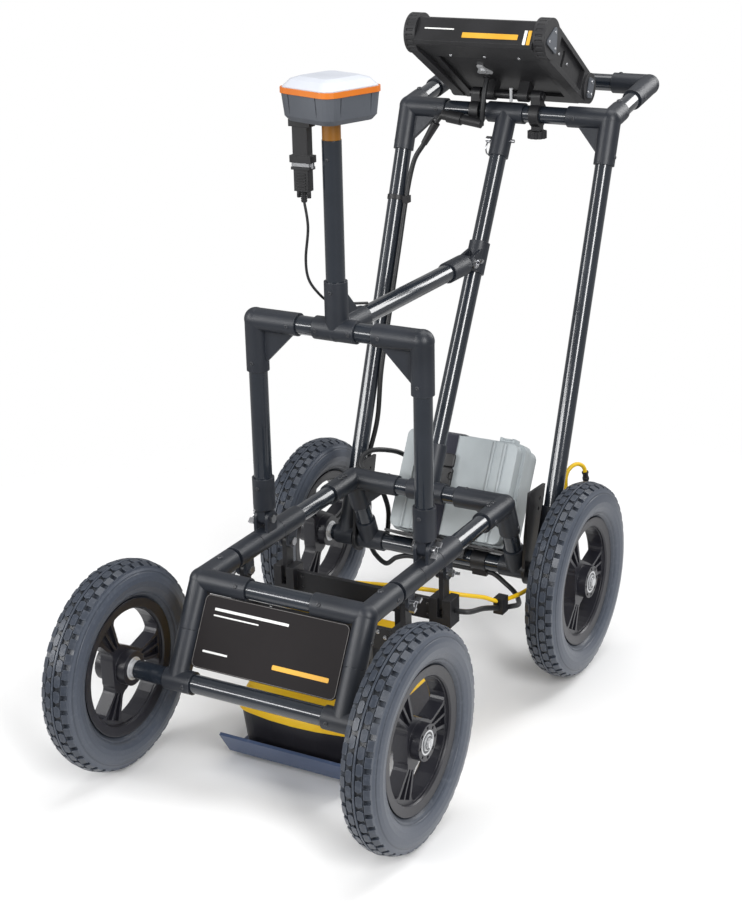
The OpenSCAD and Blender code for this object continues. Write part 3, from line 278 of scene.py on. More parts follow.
# %% Moulded and coated surfaces
def moulded(
    name, dark, light, rough, grain=0.0, grain_scale=900, edge=0.0008, wear=0.0, **fixed
):
    """Two close tones in clouds, the grain of the mould, soft edges and wear on them."""
    finish = Finish(name, **fixed)
    cloud = finish.noise(14, 4)
    fine = finish.noise(grain_scale, 2)
    colour = finish.mix(finish.ramp(cloud, 0.3, 0.7), rgb(*dark), rgb(*light))
    if wear:
        rubbed = finish.ramp(finish.noise(60, 4), 0.4, 0.65) * finish.edges(0.0015) * wear
        colour = finish.mix(rubbed, colour, rgb(*(v + 60 for v in light)))
    finish.set(
        Base_Color=colour,
        Roughness=cloud * 0.16 + (rough - 0.08),
        Normal=finish.relief(fine, grain, edge),
    )
    return finish


finishes = {
    "tube": moulded("coated_tube", (25, 31, 39), (32, 38, 47), 0.22, 0.00004, 500,
                    Coat_Weight=0.8, Coat_Roughness=0.06),
    "socket": moulded("socket_moulding", (28, 32, 39), (36, 40, 48), 0.42, 0.00012, 1400,
                      edge=0.0014, wear=0.7),
    "rim": moulded("rim_moulding", (27, 27, 33), (34, 34, 41), 0.34, 0.00006, 900,
                   edge=0.0012, wear=0.5),
    "black_plate": moulded("black_plate", (20, 20, 23), (27, 27, 30), 0.42, 0.00008, 1200,
                           wear=0.7),
    "panel": moulded("panel_face", (29, 26, 27), (35, 32, 33), 0.5, 0.00004, 1500,
                     Specular_IOR_Level=0.1),
    "ochre": moulded("ochre_collar", (132, 84, 14), (150, 100, 22), 0.42, 0.00005),
    "grey": moulded("grey_housing", (74, 78, 85), (87, 91, 98), 0.55, 0.00012, 1300,
                    edge=0.0012),
    "orange": moulded("orange_band", (206, 106, 20), (220, 122, 30), 0.45, 0.00004),
    "white": moulded("white_dome", (200, 204, 213), (210, 214, 222), 0.34, 0.00003,
                     edge=0.003),
    "black_plastic": moulded("black_moulding", (20, 20, 22), (29, 29, 32), 0.45, 0.0001, 1200,
                             edge=0.001),
    "tub": moulded("sensor_tub", (33, 32, 38), (45, 44, 50), 0.5, 0.0001, 800, edge=0.002),
    "yellow": moulded("sensor_cover", (243, 190, 4), (252, 206, 16), 0.42, 0.00006, 900,
                      edge=0.002),
    "case": moulded("case_moulding", (158, 165, 168), (174, 181, 184), 0.44, 0.0001, 900,
                    edge=0.0022),
}
print(len(finishes), "moulded finishes")

# %% [markdown]
# ## Rubber that has been outdoors
# The tyres are grey rubber. New rubber is even, but the blocks of a used tread are scuffed
# paler. Two noises at different scales do that, and the roughness rises with the dust. Along
# the edges of the blocks the same pale tone is painted, partly as dust and partly as painted
# highlight. The grooves get painted shade: a point is in a groove where it lies closer to the
# axle than the tread's crown does at that place, and there the colour is darkened. The walls
# of a tyre are smoother than its tread and catch more light, so a paler tone is painted where
# the surface looks sideways, as painted sheen, with two thin lines of the mould round it.


# %% Tyres, bumpers and cables, with sizes of the tyre in millimetres
TYRE_W, TREAD_HALF = 57.0, 22.4
CROWN_DROP, CROWN_FALL = 1.7, 0.0115  # how far the crown is in, and how it falls off sideways
MOULD_LINES, MOULD_LINE_W = (143.7, 111.9), 1.4


def rubber(name, dark, light, dust_and_highlight, amount, rough, wall_sheen=None):
    """Scuffed rubber; a wall tone adds painted sheen, mould lines, and painted edge highlight and
    groove shade.
    """
    finish = Finish(name)
    cloud = finish.noise(9, 5)
    scuff = finish.ramp(finish.noise(160, 4, 0.65), 0.52, 0.72)
    body = finish.mix(finish.ramp(cloud, 0.3, 0.7), rgb(*dark), rgb(*light))
    height = finish.noise(700, 3)
    if wall_sheen:
        away, across = finish.in_wheel(TYRE_W, 2 * RADIUS)
        outer, inner = (finish.line(away, r, MOULD_LINE_W) for r in MOULD_LINES)
        lines = (outer + inner) * finish.sideways()
        # where the grooves lie; their colour is darkened below as painted shade
        deep = (RADIUS - CROWN_DROP) - across * across * CROWN_FALL - away
        groove_shade = finish.ramp(deep, -0.6, 0.8) * finish.line(across, 0, TREAD_HALF)
        # painted sheen: a paler tone where the surface looks sideways, for the light the smooth
        # walls catch
        body = finish.mix(finish.sideways(), body, rgb(*wall_sheen))
        body = finish.mix(lines * 0.6, body, rgb(*dark))
        # the block edges are lightened, partly as dust and partly as painted highlight
        body = finish.mix(finish.edges(0.0022) * cloud * 0.7, body, rgb(*dust_and_highlight))
        # painted shade in the grooves
        body = finish.mix(groove_shade * 0.85, body, rgb(*(v * 0.4 for v in dark)))
        height = height - lines * 3
    finish.set(
        Base_Color=finish.mix(scuff * cloud * amount, body, rgb(*dust_and_highlight)),
        Roughness=scuff * 0.15 + rough,
        Normal=finish.relief(height, 0.00012, 0.0008),
    )
    return finish


# the walls' tone is painted sheen; the pale tone is dust, and painted highlight on block edges
finishes["tyre"] = rubber(
    "tyre_rubber", (44, 50, 60), (55, 61, 72), (116, 122, 132), 0.4, 0.34, wall_sheen=(73, 79, 90)
)
finishes["bumper"] = rubber(
    "bumper_rubber", (27, 27, 29), (36, 36, 39), (70, 70, 72), 0.2, 0.55
)
finishes["cable"] = rubber(
    "cable_jacket", (22, 23, 25), (30, 31, 34), (60, 60, 62), 0.15, 0.45
)
finishes["yellow_cable"] = rubber(
    "yellow_jacket", (222, 178, 12), (236, 196, 30), (190, 160, 60), 0.2, 0.4
)

# %% [markdown]
# ## Bare metal
# Bolts, wing nuts and pins are plain steel. A metal has no colour of its own apart from its
# reflections, so what makes it look used is the roughness: a noise that is stretched along
# one axis reads as the lines of brushing.

# %% Steel
steel = Finish("plain_steel", Metallic=1.0)
lines = steel.noise(240, 3, stretch=(1, 1, 14))
steel.set(
    Base_Color=steel.mix(steel.noise(30), rgb(176, 177, 180), rgb(204, 205, 208)),
    Roughness=lines * 0.22 + 0.2,
    Normal=steel.relief(lines, 0.00003, 0.0004),
)
finishes["steel"] = steel

# %% [markdown]
# ## The blue skid
# The sheet under the sensor slides over the ground. Its face is scratched along the way of
# travel, which a noise drawn out along Y shows, and the scratches are paler than the blue.

# %% Skid plastic
skid = Finish("skid_sheet")
scratch = skid.ramp(skid.noise(90, 5, 0.7, stretch=(1, 0.06, 1)), 0.55, 0.75)
skid.set(
    Base_Color=skid.mix(scratch * 0.5, rgb(64, 78, 106), rgb(108, 119, 142)),
    Roughness=scratch * 0.2 + 0.36,
    Normal=skid.relief(scratch, -0.00008, 0.0008),
)
finishes["blue"] = skid

# %% [markdown]
# ## Woven webbing
# The strap round the battery case is woven. Two waves, one along and one across the band,
# make the over and under of the threads, and their sum is highest where threads cross. The
# weave follows the piece's own UV map, so that it turns the corners with the strap.

# %% Webbing
webbing = Finish("strap_webbing", Sheen_Weight=0.25)
band = webbing.node("TexCoord", out="UV")
warp = webbing.node("TexWave", {"bands_direction": "X"}, {"Vector": band, "Scale": 5.0})
weft = webbing.node("TexWave", {"bands_direction": "Y"}, {"Vector": band, "Scale": 5.0})
threads = warp * 0.6 + weft * 0.4
webbing.set(
    Base_Color=webbing.mix(threads, rgb(20, 21, 32), rgb(46, 48, 66)),
    Roughness=0.92 - threads * 0.12,
    Normal=webbing.relief(threads, 0.0004),
)
finishes["webbing"] = webbing

# %% [markdown]
# ## The screen
# The display is off. Its glass is nearly black with a sharp reflection, and a faint smear
# of finger marks shows mostly in the roughness.

# %% Screen glass
screen = Finish("screen_glass", Coat_Weight=0.6, Coat_Roughness=0.03)
marks = screen.ramp(screen.noise(26, 5, 0.7), 0.45, 0.75)
screen.set(
    Base_Color=screen.mix(marks, rgb(14, 17, 20), rgb(20, 23, 26)),
    Roughness=marks * 0.12 + 0.06,
)
finishes["screen"] = screen

# %% [markdown]
# ## Dress the CAD nodes
# The record says which material slot each CAD node has, and the finishes carry the same
# names, so a loop gives every node its finish and none can be forgotten. The bearings, the
# axles and the turn latch are paler than plain steel, so a satin finish replaces it there.

# %% Give every CAD node its finish
for part in frame["record"]["subparts"]:
    mesh = nodes[part["node"]].data
    mesh.materials.clear()
    mesh.materials.append(finishes[part["material_slot"]].material)
satin = Finish("satin_latch", Metallic=0.45, Roughness=0.34)
satin.set(Base_Color=satin.mix(satin.noise(40), rgb(196, 197, 199), rgb(216, 217, 219)))
for name in ("display_latch", "wheel_bearings", "stub_axles"):
    nodes[name].data.materials[0] = satin.material

# %% [markdown]
# ## Making meshes
# The fine pieces are made from three shapes: a profile turned on a lathe, a section swept
# along a line, and a flat outline given a thickness. Each is a stack of rows with the same
# number of points, so one function finds the faces of them all. Another one turns points
# and faces into an object, with soft shading that stops at the sharp edges.


# %% From points and faces to a piece
def piece(name, shapes, slot, body, sharp=35, finish=None):
    """Join shapes into one object, which rides on a body when one is named."""
    points, faces = [], []
    for shape_points, shape_faces in shapes:
        start = len(points)
        points += [tuple(p) for p in shape_points]
        faces += [tuple(i + start for i in f) for f in shape_faces]
    mesh = bpy.data.meshes.new(name)
    mesh.from_pydata(points, [], faces)
    mesh.validate()
    mesh.update()
    for polygon in mesh.polygons:
        polygon.use_smooth = True
    mesh.set_sharp_from_angle(angle=math.radians(sharp))
    mesh.materials.append((finish or finishes[slot]).material)
    made = bpy.data.objects.new(name, mesh)
    bpy.context.scene.collection.objects.link(made)
    if body:
        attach(made, body)
    return made


# %% Turned, swept and flat shapes
def circle(r, count=40):
    """Points of a circle."""
    return [
        (r * math.cos(math.tau * k / count), r * math.sin(math.tau * k / count))
        for k in range(count)
    ]


def skin(rows, count):
    """Faces over rows of points: the sides from row to row, and a cap at each end."""
    sides = [
        (i * count + k, i * count + (k + 1) % count,
         (i + 1) * count + (k + 1) % count, (i + 1) * count + k)
        for i in range(rows - 1)
        for k in range(count)
    ]
    first, last = range(count), range((rows - 1) * count, rows * count)
    return [*sides, tuple(first)[::-1], tuple(last)]


def turned(profile, origin, axis, count=20):
    """A closed profile of (radius, height) in millimetres, turned about an axis."""
    turn = Vector(axis).normalized().to_track_quat("Z", "Y")
    points = [
        origin + turn @ Vector((x / 1000, y / 1000, h / 1000))
        for r, h in profile
        for x, y in circle(r, count)
    ]
    return points, skin(len(profile), count)


def swept(route, section):
    """A section of (side, up) in metres carried along a route, closed at both ends."""
    points = []
    side = None
    for i, here in enumerate(route):
        ahead = (route[min(i + 1, len(route) - 1)] - route[max(i - 1, 0)]).normalized()
        if side is None:
            side = ahead.orthogonal().normalized()
        else:
            side = (side - ahead * side.dot(ahead)).normalized()
        lift = side.cross(ahead)
        points += [here + side * a + lift * b for a, b in section]
    return points, skin(len(route), len(section))


def slab(outline, thick, place):
    """A flat outline in millimetres, made thick and put in place by a function."""
    points = [place(x, y, h) for h in (0, thick) for x, y in outline]
    return points, skin(2, len(outline))


def rounded(w, h, r, cx=0.0, cy=0.0, steps=5):
    """Outline of a rectangle with round corners."""
    outline = []
    for quarter, (sx, sy) in enumerate(((1, 1), (-1, 1), (-1, -1), (1, -1))):
        for i in range(steps + 1):
            a = math.radians(90 * (quarter + i / steps))
            outline.append((
                cx + sx * (w / 2 - r) + r * math.cos(a),
                cy + sy * (h / 2 - r) + r * math.sin(a),
            ))
    return outline


# %% [markdown]
# ## Cables
# A cable could be a Bezier curve, but a curve's handles are slow to place. A line drawn
# smoothly through chosen points needs none: the points are those of the CAD model, apart
# from a few of the yellow lead that lie some millimetres away, and the spline between them
# is sampled finely.


# %% A smooth line through points
def smooth(points, steps=8):
    """A spline through points, with the same number of steps between each two."""
    line = []
    last = len(points) - 1
    for i in range(last):
        a, b = points[max(i - 1, 0)], points[i]
        c, d = points[i + 1], points[min(i + 2, last)]
        for k in range(steps):
            t = k / steps
            line.append(0.5 * (
                2 * b + (c - a) * t + (2 * a - 5 * b + 4 * c - d) * t * t
                + (3 * b - a - 3 * c + d) * t ** 3
            ))
    line.append(points[last])
    return line


def round_section(radius, sides=14):
    """The section of a cord, from its radius in millimetres."""
    return circle(radius / 1000, sides)


def cable(name, points, radius, slot, body=None):
    """Lay a cord through points, and say how long it is."""
    line = smooth([at(*p) for p in points])
    made = piece(name, [swept(line, round_section(radius))], slot, body, 80)
    length = sum((b - a).length for a, b in zip(line, line[1:]))
    print(name, "is", round(length, 2), "m long")
    return made


# %% The routes, in millimetres of the cart
CABLE, LEAD, THIN_LEAD = 4.2, 3.4, 2.0  # radii of the cords
GAP = 0.4  # room between a cord and the tube beside it
ROD_Z = TOP_Z + SOCKET + 12  # the rod that the display tilts on
INNER = HALF_POLE - TUBE - CABLE - GAP
UNDER = RADIUS - TUBE - CABLE - GAP
CASE_LEFT = CASE_X - CASE_W / 2
plug_right, plug_left = (-34, TOP_Y - 28, TOP_Z - 16), (-106, TOP_Y - 28, TOP_Z - 6)

display_tail = [
    (-30, TOP_Y - 14.6, ROD_Z + 26.6), (-30, TOP_Y - 21, ROD_Z + 16),
    (-30, TOP_Y - 26, ROD_Z + 2), (-31, TOP_Y - 29, TOP_Z + 8),
    (plug_right[0] + 1, plug_right[1], plug_right[2] + 4),
]
sensor_run = [
    plug_left, (-118, TOP_Y - 28, TOP_Z - 20), (-140, TOP_Y - 30, TOP_Z - 56),
    (-156, TOP_Y - 37, TOP_Z - 86),
    *((-INNER, pole_y(z), z) for z in (710, 630, 530, 430)),
    (-165, pole_y(345) + 16, 345), (-176, pole_y(275) + 24, 275), (-178, pole_y(215) + 26, 215),
    (-174, BASE + 38, RADIUS + 6), (-158, BASE + 36, RADIUS - 30), (-136, BASE + 16, RADIUS - 37),
    (-106, BASE - 3, RADIUS - 39), (-88, BASE - 1, RADIUS - 26),
    *((x, BASE, UNDER) for x in (-66, -40, 10, 58, 84)),
    (98, BASE - 1, UNDER - 2), (116, BASE - 5, RADIUS - 29), (140, BASE - 18, RADIUS - 36),
    (160, BASE - 46, RADIUS - 34), (178, BASE - 86, RADIUS - 22), (188, BASE - 136, RADIUS - 2),
    (188, BASE - 174, RADIUS + 12), (184, HANG_R + 40, LOW_Z - 12), (178, HANG_R + 8, LOW_Z - 5),
    (166, HANG_R, LOW_Z - 4), (155.6, HANG_R, LOW_Z - 4),
]
battery_lead = [
    (CASE_LEFT + 5.5, REAR + 146, DECK - 10), (CASE_LEFT - 9, REAR + 142, DECK - 7),
    (-120, REAR + 116, DECK + 11), (-138, REAR + 73, DECK + 25), (-146, REAR + 46, DECK + 21),
    (-140, REAR + 33, DECK + 7), (-122, REAR + 35, DECK - 5), (-113, REAR + 46, DECK - 27),
    (-113, REAR + 72, DECK - 76), (-119, REAR + 80, RADIUS + 8), (-120, REAR + 68, RADIUS - 24),
]
BESIDE_TYRE = HALF_POLE + SOCKET + 7
wheel_lead = [
    (-30, HANG_R + 8.6, LOW_Z + 1), (36, HANG_R + 21, LOW_Z + 4), (100, HANG_R + 29, LOW_Z + 6),
    (146, HANG_R + 38, LOW_Z + 4), (170, HANG_R + 68, LOW_Z - 8), (188, HANG_R + 92, RADIUS + 24),
    (200, REAR - 44, RADIUS + 14), (BESIDE_TYRE, BASE - 38, RADIUS + 30),
    (BESIDE_TYRE, BASE + 14, RADIUS + 62), (BESIDE_TYRE - 2, BASE + 55, RADIUS + 96),
    (189, BASE + 76, RADIUS + 118), (187.1, BASE + 79.3, RADIUS + 139.6),
    (190.4, BASE + 85.4, RADIUS + 152.1), (196.5, BASE + 97, RADIUS + 157),
    (202.6, BASE + 108.6, RADIUS + 152.1), (205.9, BASE + 114.7, RADIUS + 139.6),
    (206.5, BASE + 117, RADIUS + 108), (200, BASE + 112, RADIUS + 70),
    (190, BASE + 84, RADIUS + 36), (183, BASE + SOCKET + 25, RADIUS + 12),
    (182, BASE + SOCKET + 8, RADIUS - 3.6),
]
PLUG_X, PLUG_Y, REC_Z = -40, GATE_Y - 12, 934  # the plug's axis, and the receiver above it
receiver_lead = [
    (PLUG_X, PLUG_Y, REC_Z - 116.2), (PLUG_X + 4, PLUG_Y + 1, REC_Z - 152),
    (PLUG_X - 2, PLUG_Y + 2, REC_Z - 198), (PLUG_X - 1, PLUG_Y + 6, GATE_Z + 72),
    (PLUG_X + 8, PLUG_Y + 16, GATE_Z + 50), (PLUG_X + 18, PLUG_Y + 30, GATE_Z + 34),
    (PLUG_X + 28, PLUG_Y + 48, GATE_Z + 27), (PLUG_X + 34, PLUG_Y + 68, GATE_Z + 24),
    (-1, GATE_Y + 92, GATE_Z + TUBE + 2.3),
]

# %% Lay the cables
tail = cable("display_tail", display_tail, CABLE, "cable")
at(-30, TOP_Y - 28, TOP_Z)
at(-30, TOP_Y - 17, ROD_Z + 20)
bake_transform(tail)
main = cable("sensor_run", sensor_run, CABLE, "cable")
at(188, BASE - 190, RADIUS + 16)
at(170, HANG_R, LOW_Z - 4)
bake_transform(main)
battery = cable("battery_lead", battery_lead, CABLE, "cable", "chassis")
for cord in (tail, main, battery):
    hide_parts("black_cables")
yellow = cable("wheel_lead", wheel_lead, LEAD, "yellow_cable")
at(180, HANG_R + 86, LOW_Z)
at(100, HANG_R + 29, LOW_Z)
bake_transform(yellow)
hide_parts("odometer_cable")
# the boot holds the lead where it comes down from its hook
boot_line = smooth([at(*p) for p in wheel_lead[14:18]])[8:24]
boot = [swept(boot_line, round_section(4.6))]
boot += [swept(boot_line[k:k + 2], round_section(5.6)) for k in (0, 3, 6, 9)]
piece("lead_boot", boot, "black_plastic", "chassis")
mast_cord = cable("receiver_lead", receiver_lead, THIN_LEAD, "cable", "mast_frame")
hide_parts("receiver_cable")

# %% [markdown]
# ## The strap
# A webbing strap holds the battery case on its tray. Cloth simulation would only blur its
# edges, so it is swept directly: a flat section with soft corners follows the stepped side
# of the case. The bends are rounded, and UV numbers run along it for the weave.

# %% The slope that the case leans on
lean = Vector((0, TOP_Y - REAR, TOP_Z - DECK)).normalized()
outward = Vector((0, -lean.z, lean.y))
LIFT, LID, LID_STEP = 66.0, 38.0, 3.0  # slope to case, depth of the lid, step in its face
TRAY_GAP, TRAY = 2.0, 7.0  # tray under the case
AXLE_S = (BASE - REAR) * lean.y - (DECK - RADIUS) * lean.z
CASE_BOTTOM = AXLE_S + TUBE + TRAY_GAP + TRAY
CASE_MID = CASE_BOTTOM + CASE_H / 2
STRAP_X = CASE_X - 26
SEAM = -LIFT - LID


def on_slope(x, s, n):
    """x across, s up the slope from the rear tube and n out of the case's lid."""
    return at(x, REAR, DECK) + (lean * s + outward * n) / 1000


# %% A loop with round bends
def rounded_loop(corners, radius, steps=5):
    """A closed line past corners, with a curve of about a radius at each of them."""
    corners = [Vector(corner) for corner in corners]
    loop = []
    for i, here in enumerate(corners):
        before = corners[i - 1] - here
        after = corners[(i + 1) % len(corners)] - here
        reach = min(radius, before.length / 2.2, after.length / 2.2)
        p, q = here + before.normalized() * reach, here + after.normalized() * reach
        for k in range(steps + 1):
            t = k / steps
            loop.append(p * (1 - t) ** 2 + 2 * here * t * (1 - t) + q * t * t)
    return loop


CLEAR = 1.2  # from the case to the middle of the strap
s_lo, s_hi = CASE_BOTTOM - CLEAR, CASE_BOTTOM + CASE_H + CLEAR
n_back, n_front = -LIFT - CASE_D - CLEAR, -LIFT - LID_STEP + CLEAR
loop = rounded_loop([
    (s_lo, SEAM - 12), (s_lo + 4, n_back), (s_hi - 4, n_back), (s_hi, SEAM - 12),
    (s_hi, SEAM + 12), (s_hi - 4, n_front), (s_lo + 4, n_front), (s_lo, SEAM + 12),
], 5)
STRAP_HALF, STRAP_T = 19.0, 0.9  # half of its width and of its thickness
flat = STRAP_HALF - 0.6
section = [
    (-STRAP_HALF, -STRAP_T / 2), (-flat, -STRAP_T), (flat, -STRAP_T),
    (STRAP_HALF, -STRAP_T / 2), (STRAP_HALF, STRAP_T / 2), (flat, STRAP_T),
    (-flat, STRAP_T), (-STRAP_HALF, STRAP_T / 2),
]

# %% Sweep the strap round the case
points, faces, uvs = [], [], []
travel = 0.0
n, m = len(section), len(loop)
for i, here in enumerate(loop):
    ahead = (loop[(i + 1) % m] - loop[i - 1]).normalized()
    out = Vector((ahead.y, -ahead.x))
    for x, t in section:
        spot = here + out * t
        points.append(on_slope(STRAP_X + x, spot.x, spot.y))
        uvs.append((x / 10, travel / 10))
    travel += (loop[(i + 1) % m] - here).length
for i in range(m):
    j = (i + 1) % m
    for k in range(n):
        faces.append((i * n + k, i * n + (k + 1) % n, j * n + (k + 1) % n, j * n + k))


def weave_map(obj, uvs):
    """Give a mesh a UV map, from one pair of numbers for each of its points."""
    layer = obj.data.uv_layers.new(name="UVMap")
    for corner in obj.data.loops:
        layer.data[corner.index].uv = uvs[corner.vertex_index]


strap = piece("case_strap", [(points, faces)], "webbing", "chassis", 50)
weave_map(strap, uvs)
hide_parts("straps")
print("strap loop", round(travel / 1000, 3), "m")

# %% [markdown]
# ## The buckle
# A side release buckle closes the strap. Both halves are mouldings with a soft upper edge:
# a loft from the full outline to one drawn in a little, so that the rim catches the light.
# The prongs of the upper half show in two windows at the sides of the lower one.


# %% A moulding with a soft edge, and the two halves of the buckle
def moulding(outline, drawn_in, thick, soft, place):
    """Carry an outline up to where its edge softens, and end it in the drawn-in one."""
    rows = [
        (outline, 0), (outline, thick - soft),
        (drawn_in, thick - soft * 0.2), (drawn_in, thick),
    ]
    points = [place(x, y, h) for row, h in rows for x, y in row]
    return points, skin(len(rows), len(outline))


def on_strap(x, y, n):
    """x across the strap, y along it from the buckle and n out of its face."""
    return on_slope(STRAP_X + x, CASE_MID + 10 + y, n_front + STRAP_T + 0.1 + n)


def waisted(w, h, r, bite):
    """A rounded rectangle whose sides are bitten in for the prongs."""
    outline = rounded(w, h, r)
    left = [(-w / 2, 10.5), (bite - w / 2, 8), (bite - w / 2, 0), (-w / 2, -2.5)]
    right = [(-x, y) for x, y in left[::-1]]
    return outline[:len(outline) // 2] + left + outline[len(outline) // 2:] + right


BUCKLE_W = 2 * STRAP_HALF + 8
socket_half = moulding(
    waisted(BUCKLE_W, 36, 6, 4.5), waisted(BUCKLE_W - 3, 33, 5, 4), 8, 1.6, on_strap
)
prong_half = moulding(
    rounded(BUCKLE_W - 2, 23, 4, 0, 30), rounded(BUCKLE_W - 5, 20, 3, 0, 30), 6, 1.4, on_strap
)
prongs = [
    moulding(rounded(6, 14, 2, x, 4), rounded(4.6, 12, 1.4, x, 4), 5.6, 1.2, on_strap)
    for x in (-BUCKLE_W / 2 + 3.2, BUCKLE_W / 2 - 3.2)
]
buckle = piece("strap_buckle", [socket_half, prong_half, *prongs], "black_plastic", "chassis")
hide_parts("straps")

# %% [markdown]
# ## Screws
# Small screws hold the tubes in their sockets, and they are what makes the joints look
# assembled. One head is turned on the lathe with its recess, and copies are set out in
# lists, one list for each body that the screws move with.


# %% A pan head with a recess
SCREW, LARGE_SCREW = 3.2, 4.6  # radii of the heads


def screw(point, direction, r=SCREW):
    """The head of a screw at a point, looking in a direction."""
    profile = [(r * 1.02, -0.3), (r, r * 0.16), (r * 0.82, r * 0.42), (r * 0.5, r * 0.5),
               (r * 0.42, r * 0.5), (r * 0.36, r * 0.1)]
    return turned(profile, point, direction, 12)


def both_sides(spots, r=SCREW):
    """A screw at each spot and at its mirror image across the middle of the cart."""
    return [
        screw(at(s * x, y, z), (s * dx, dy, dz), r)
        for (x, y, z), (dx, dy, dz) in spots
        for s in (1, -1)
    ]


# %% Set out the screws
black_screw = moulded("black_screw", (44, 46, 50), (64, 66, 71), 0.3)
leg = Vector((0, FRONT, DECK - RADIUS)).normalized()
rear_leg = Vector((0, BASE - REAR, RADIUS - DECK)).normalized()
pole = Vector((0, TOP_Y - BASE, TOP_Z - RADIUS)).normalized()
grip = Vector((0, GRIP_Y, GRIP_Z)).normalized()
face = (0, -leg.z, leg.y)
side_x = HALF_RAIL + SOCKET
frame_screws = both_sides([
    ((side_x, FRONT + 62, DECK), (1, 0, 0)),
    ((side_x, FRONT - leg.y * 36, DECK - leg.z * 36), (1, 0, 0)),
    ((HALF_RAIL - 68, FRONT + face[1] * SOCKET, DECK + face[2] * SOCKET), face),
    ((side_x, REAR - 68, DECK), (1, 0, 0)),
    ((HALF_RAIL - 66, REAR, DECK + SOCKET), (0, 0, 1)),
    ((side_x, REAR + rear_leg.y * 46, DECK + rear_leg.z * 46), (1, 0, 0)),
    ((HALF_RAIL - 18, -SOCKET, RADIUS), (0, -1, 0)),
    ((side_x - 0.2, leg.y * 38, RADIUS + leg.z * 38), (1, 0, 0)),
    ((HALF_POLE + SOCKET - 0.2, BASE + pole.y * 92, RADIUS + pole.z * 92), (1, 0, 0)),
    ((HALF_POLE + SOCKET, TOP_Y - pole.y * 60, TOP_Z - pole.z * 60), (1, 0, 0)),
    ((HALF_POLE - 58, TOP_Y - SOCKET, TOP_Z), (0, -1, 0)),
    ((HALF_POLE + SOCKET, TOP_Y + grip.y * 32, TOP_Z + grip.z * 32), (1, 0, 0)),
    ((HALF_POLE + SOCKET, TOP_Y + GRIP_Y - grip.y * 62, TOP_Z + GRIP_Z - grip.z * 62),
     (1, 0, 0)),
    ((HALF_POLE - 50, TOP_Y + GRIP_Y, TOP_Z + GRIP_Z + SOCKET), (0, 0, 1)),
])
rail_top = DECK + SOCKET - 0.4
stub_top = (
    HALF_POLE,
    TOP_Y + grip.y * 40 - grip.z * SOCKET,
    TOP_Z + grip.z * 40 + grip.y * SOCKET,
)
frame_screws += both_sides([
    ((HALF_RAIL - 3, FRONT + 46, rail_top), (0, 0, 1)),
    ((HALF_RAIL - 3, REAR - 36, rail_top), (0, 0, 1)),
    ((HALF_RAIL - 3, REAR - 50, rail_top), (0, 0, 1)),
    (stub_top, (0, -grip.z, grip.y)),
], LARGE_SCREW)
piece("frame_screws", frame_screws, "black_plate", "chassis", finish=black_screw)
mast_screws = both_sides([
    ((HALF_RAIL - 62, GATE_Y - SOCKET, GATE_Z), (0, -1, 0)),
    ((HALF_RAIL, GATE_Y - SOCKET, GATE_Z - 64), (0, -1, 0)),
    ((HALF_RAIL, GATE_Y - SOCKET, RAIL_PIVOT + 52), (0, -1, 0)),
    ((27, GATE_Y - SOCKET, GATE_Z), (0, -1, 0)),
])
mast_screws.append(screw(at(0, GATE_Y - SOCKET, GATE_Z + 58), (0, -1, 0)))
mast_screws.append(screw(at(0, GATE_Y - TUBE, 880), (0, -1, 0), 2.6))
piece("mast_screws", mast_screws, "black_plate", "mast_frame", finish=black_screw)
plate_screws = both_sides([
    ((x, y, LOW_Z + 2 - (x - 92) * 0.6), (0, d, 0))
    for y, d in ((HANG_F - 4, -1), (HANG_R + 4, 1))
    for x in (92, 104, 116)
], 3.4)
piece("plate_screws", plate_screws, "steel", "sensor")
print(len(frame_screws) + len(mast_screws) + len(plate_screws), "screws")

# %% [markdown]
# ## Trim on the front panel
# The panel's edge shows as a thin pale line, and a few plain stripes in white and ochre lie
# where such a panel has its print. All of them are thin plates on the panel's own slope
# rather than a pattern in the material, so they stay sharp at any distance.

# %% Line and stripes on the panel
TRIM = 0.25  # thickness of a stripe
LEG_LENGTH = math.hypot(FRONT, DECK - RADIUS)
PANEL_LOW, PANEL_FACE, PANEL_ROOM = 23.0, 5.0, 0.3  # up the leg, off its axis, round the edge
PANEL_W = 2 * (HALF_RAIL - SOCKET) - PANEL_ROOM
PANEL_H = LEG_LENGTH - SOCKET - (PANEL_LOW + PANEL_ROOM)
PANEL_MID = PANEL_LOW + PANEL_H / 2


def on_panel(x, y, n):
    """x across the panel, y up its slope from the middle and n out of its face."""
    along, out = PANEL_MID + y, PANEL_FACE + n
    return at(x, leg.y * along - leg.z * out, RADIUS + leg.z * along + leg.y * out)


def stripes(rows, corner, place):
    """Thin plates with round corners; a row is a width, a height and a middle."""
    return [slab(rounded(w, h, corner, x, y), TRIM, place) for w, h, x, y in rows]


def outline_band(outer, inner, thick, place):
    """A flat ring between two outlines with the same number of points."""
    n = len(outer)
    points = [place(x, y, h) for ring in (outer, inner) for h in (0.0, thick) for x, y in ring]
    faces = []
    for k in range(n):
        j = (k + 1) % n
        faces += [(n + k, n + j, 3 * n + j, 3 * n + k), (k, j, n + j, n + k),
                  (3 * n + k, 3 * n + j, 2 * n + j, 2 * n + k), (2 * n + k, 2 * n + j, j, k)]
    return points, faces


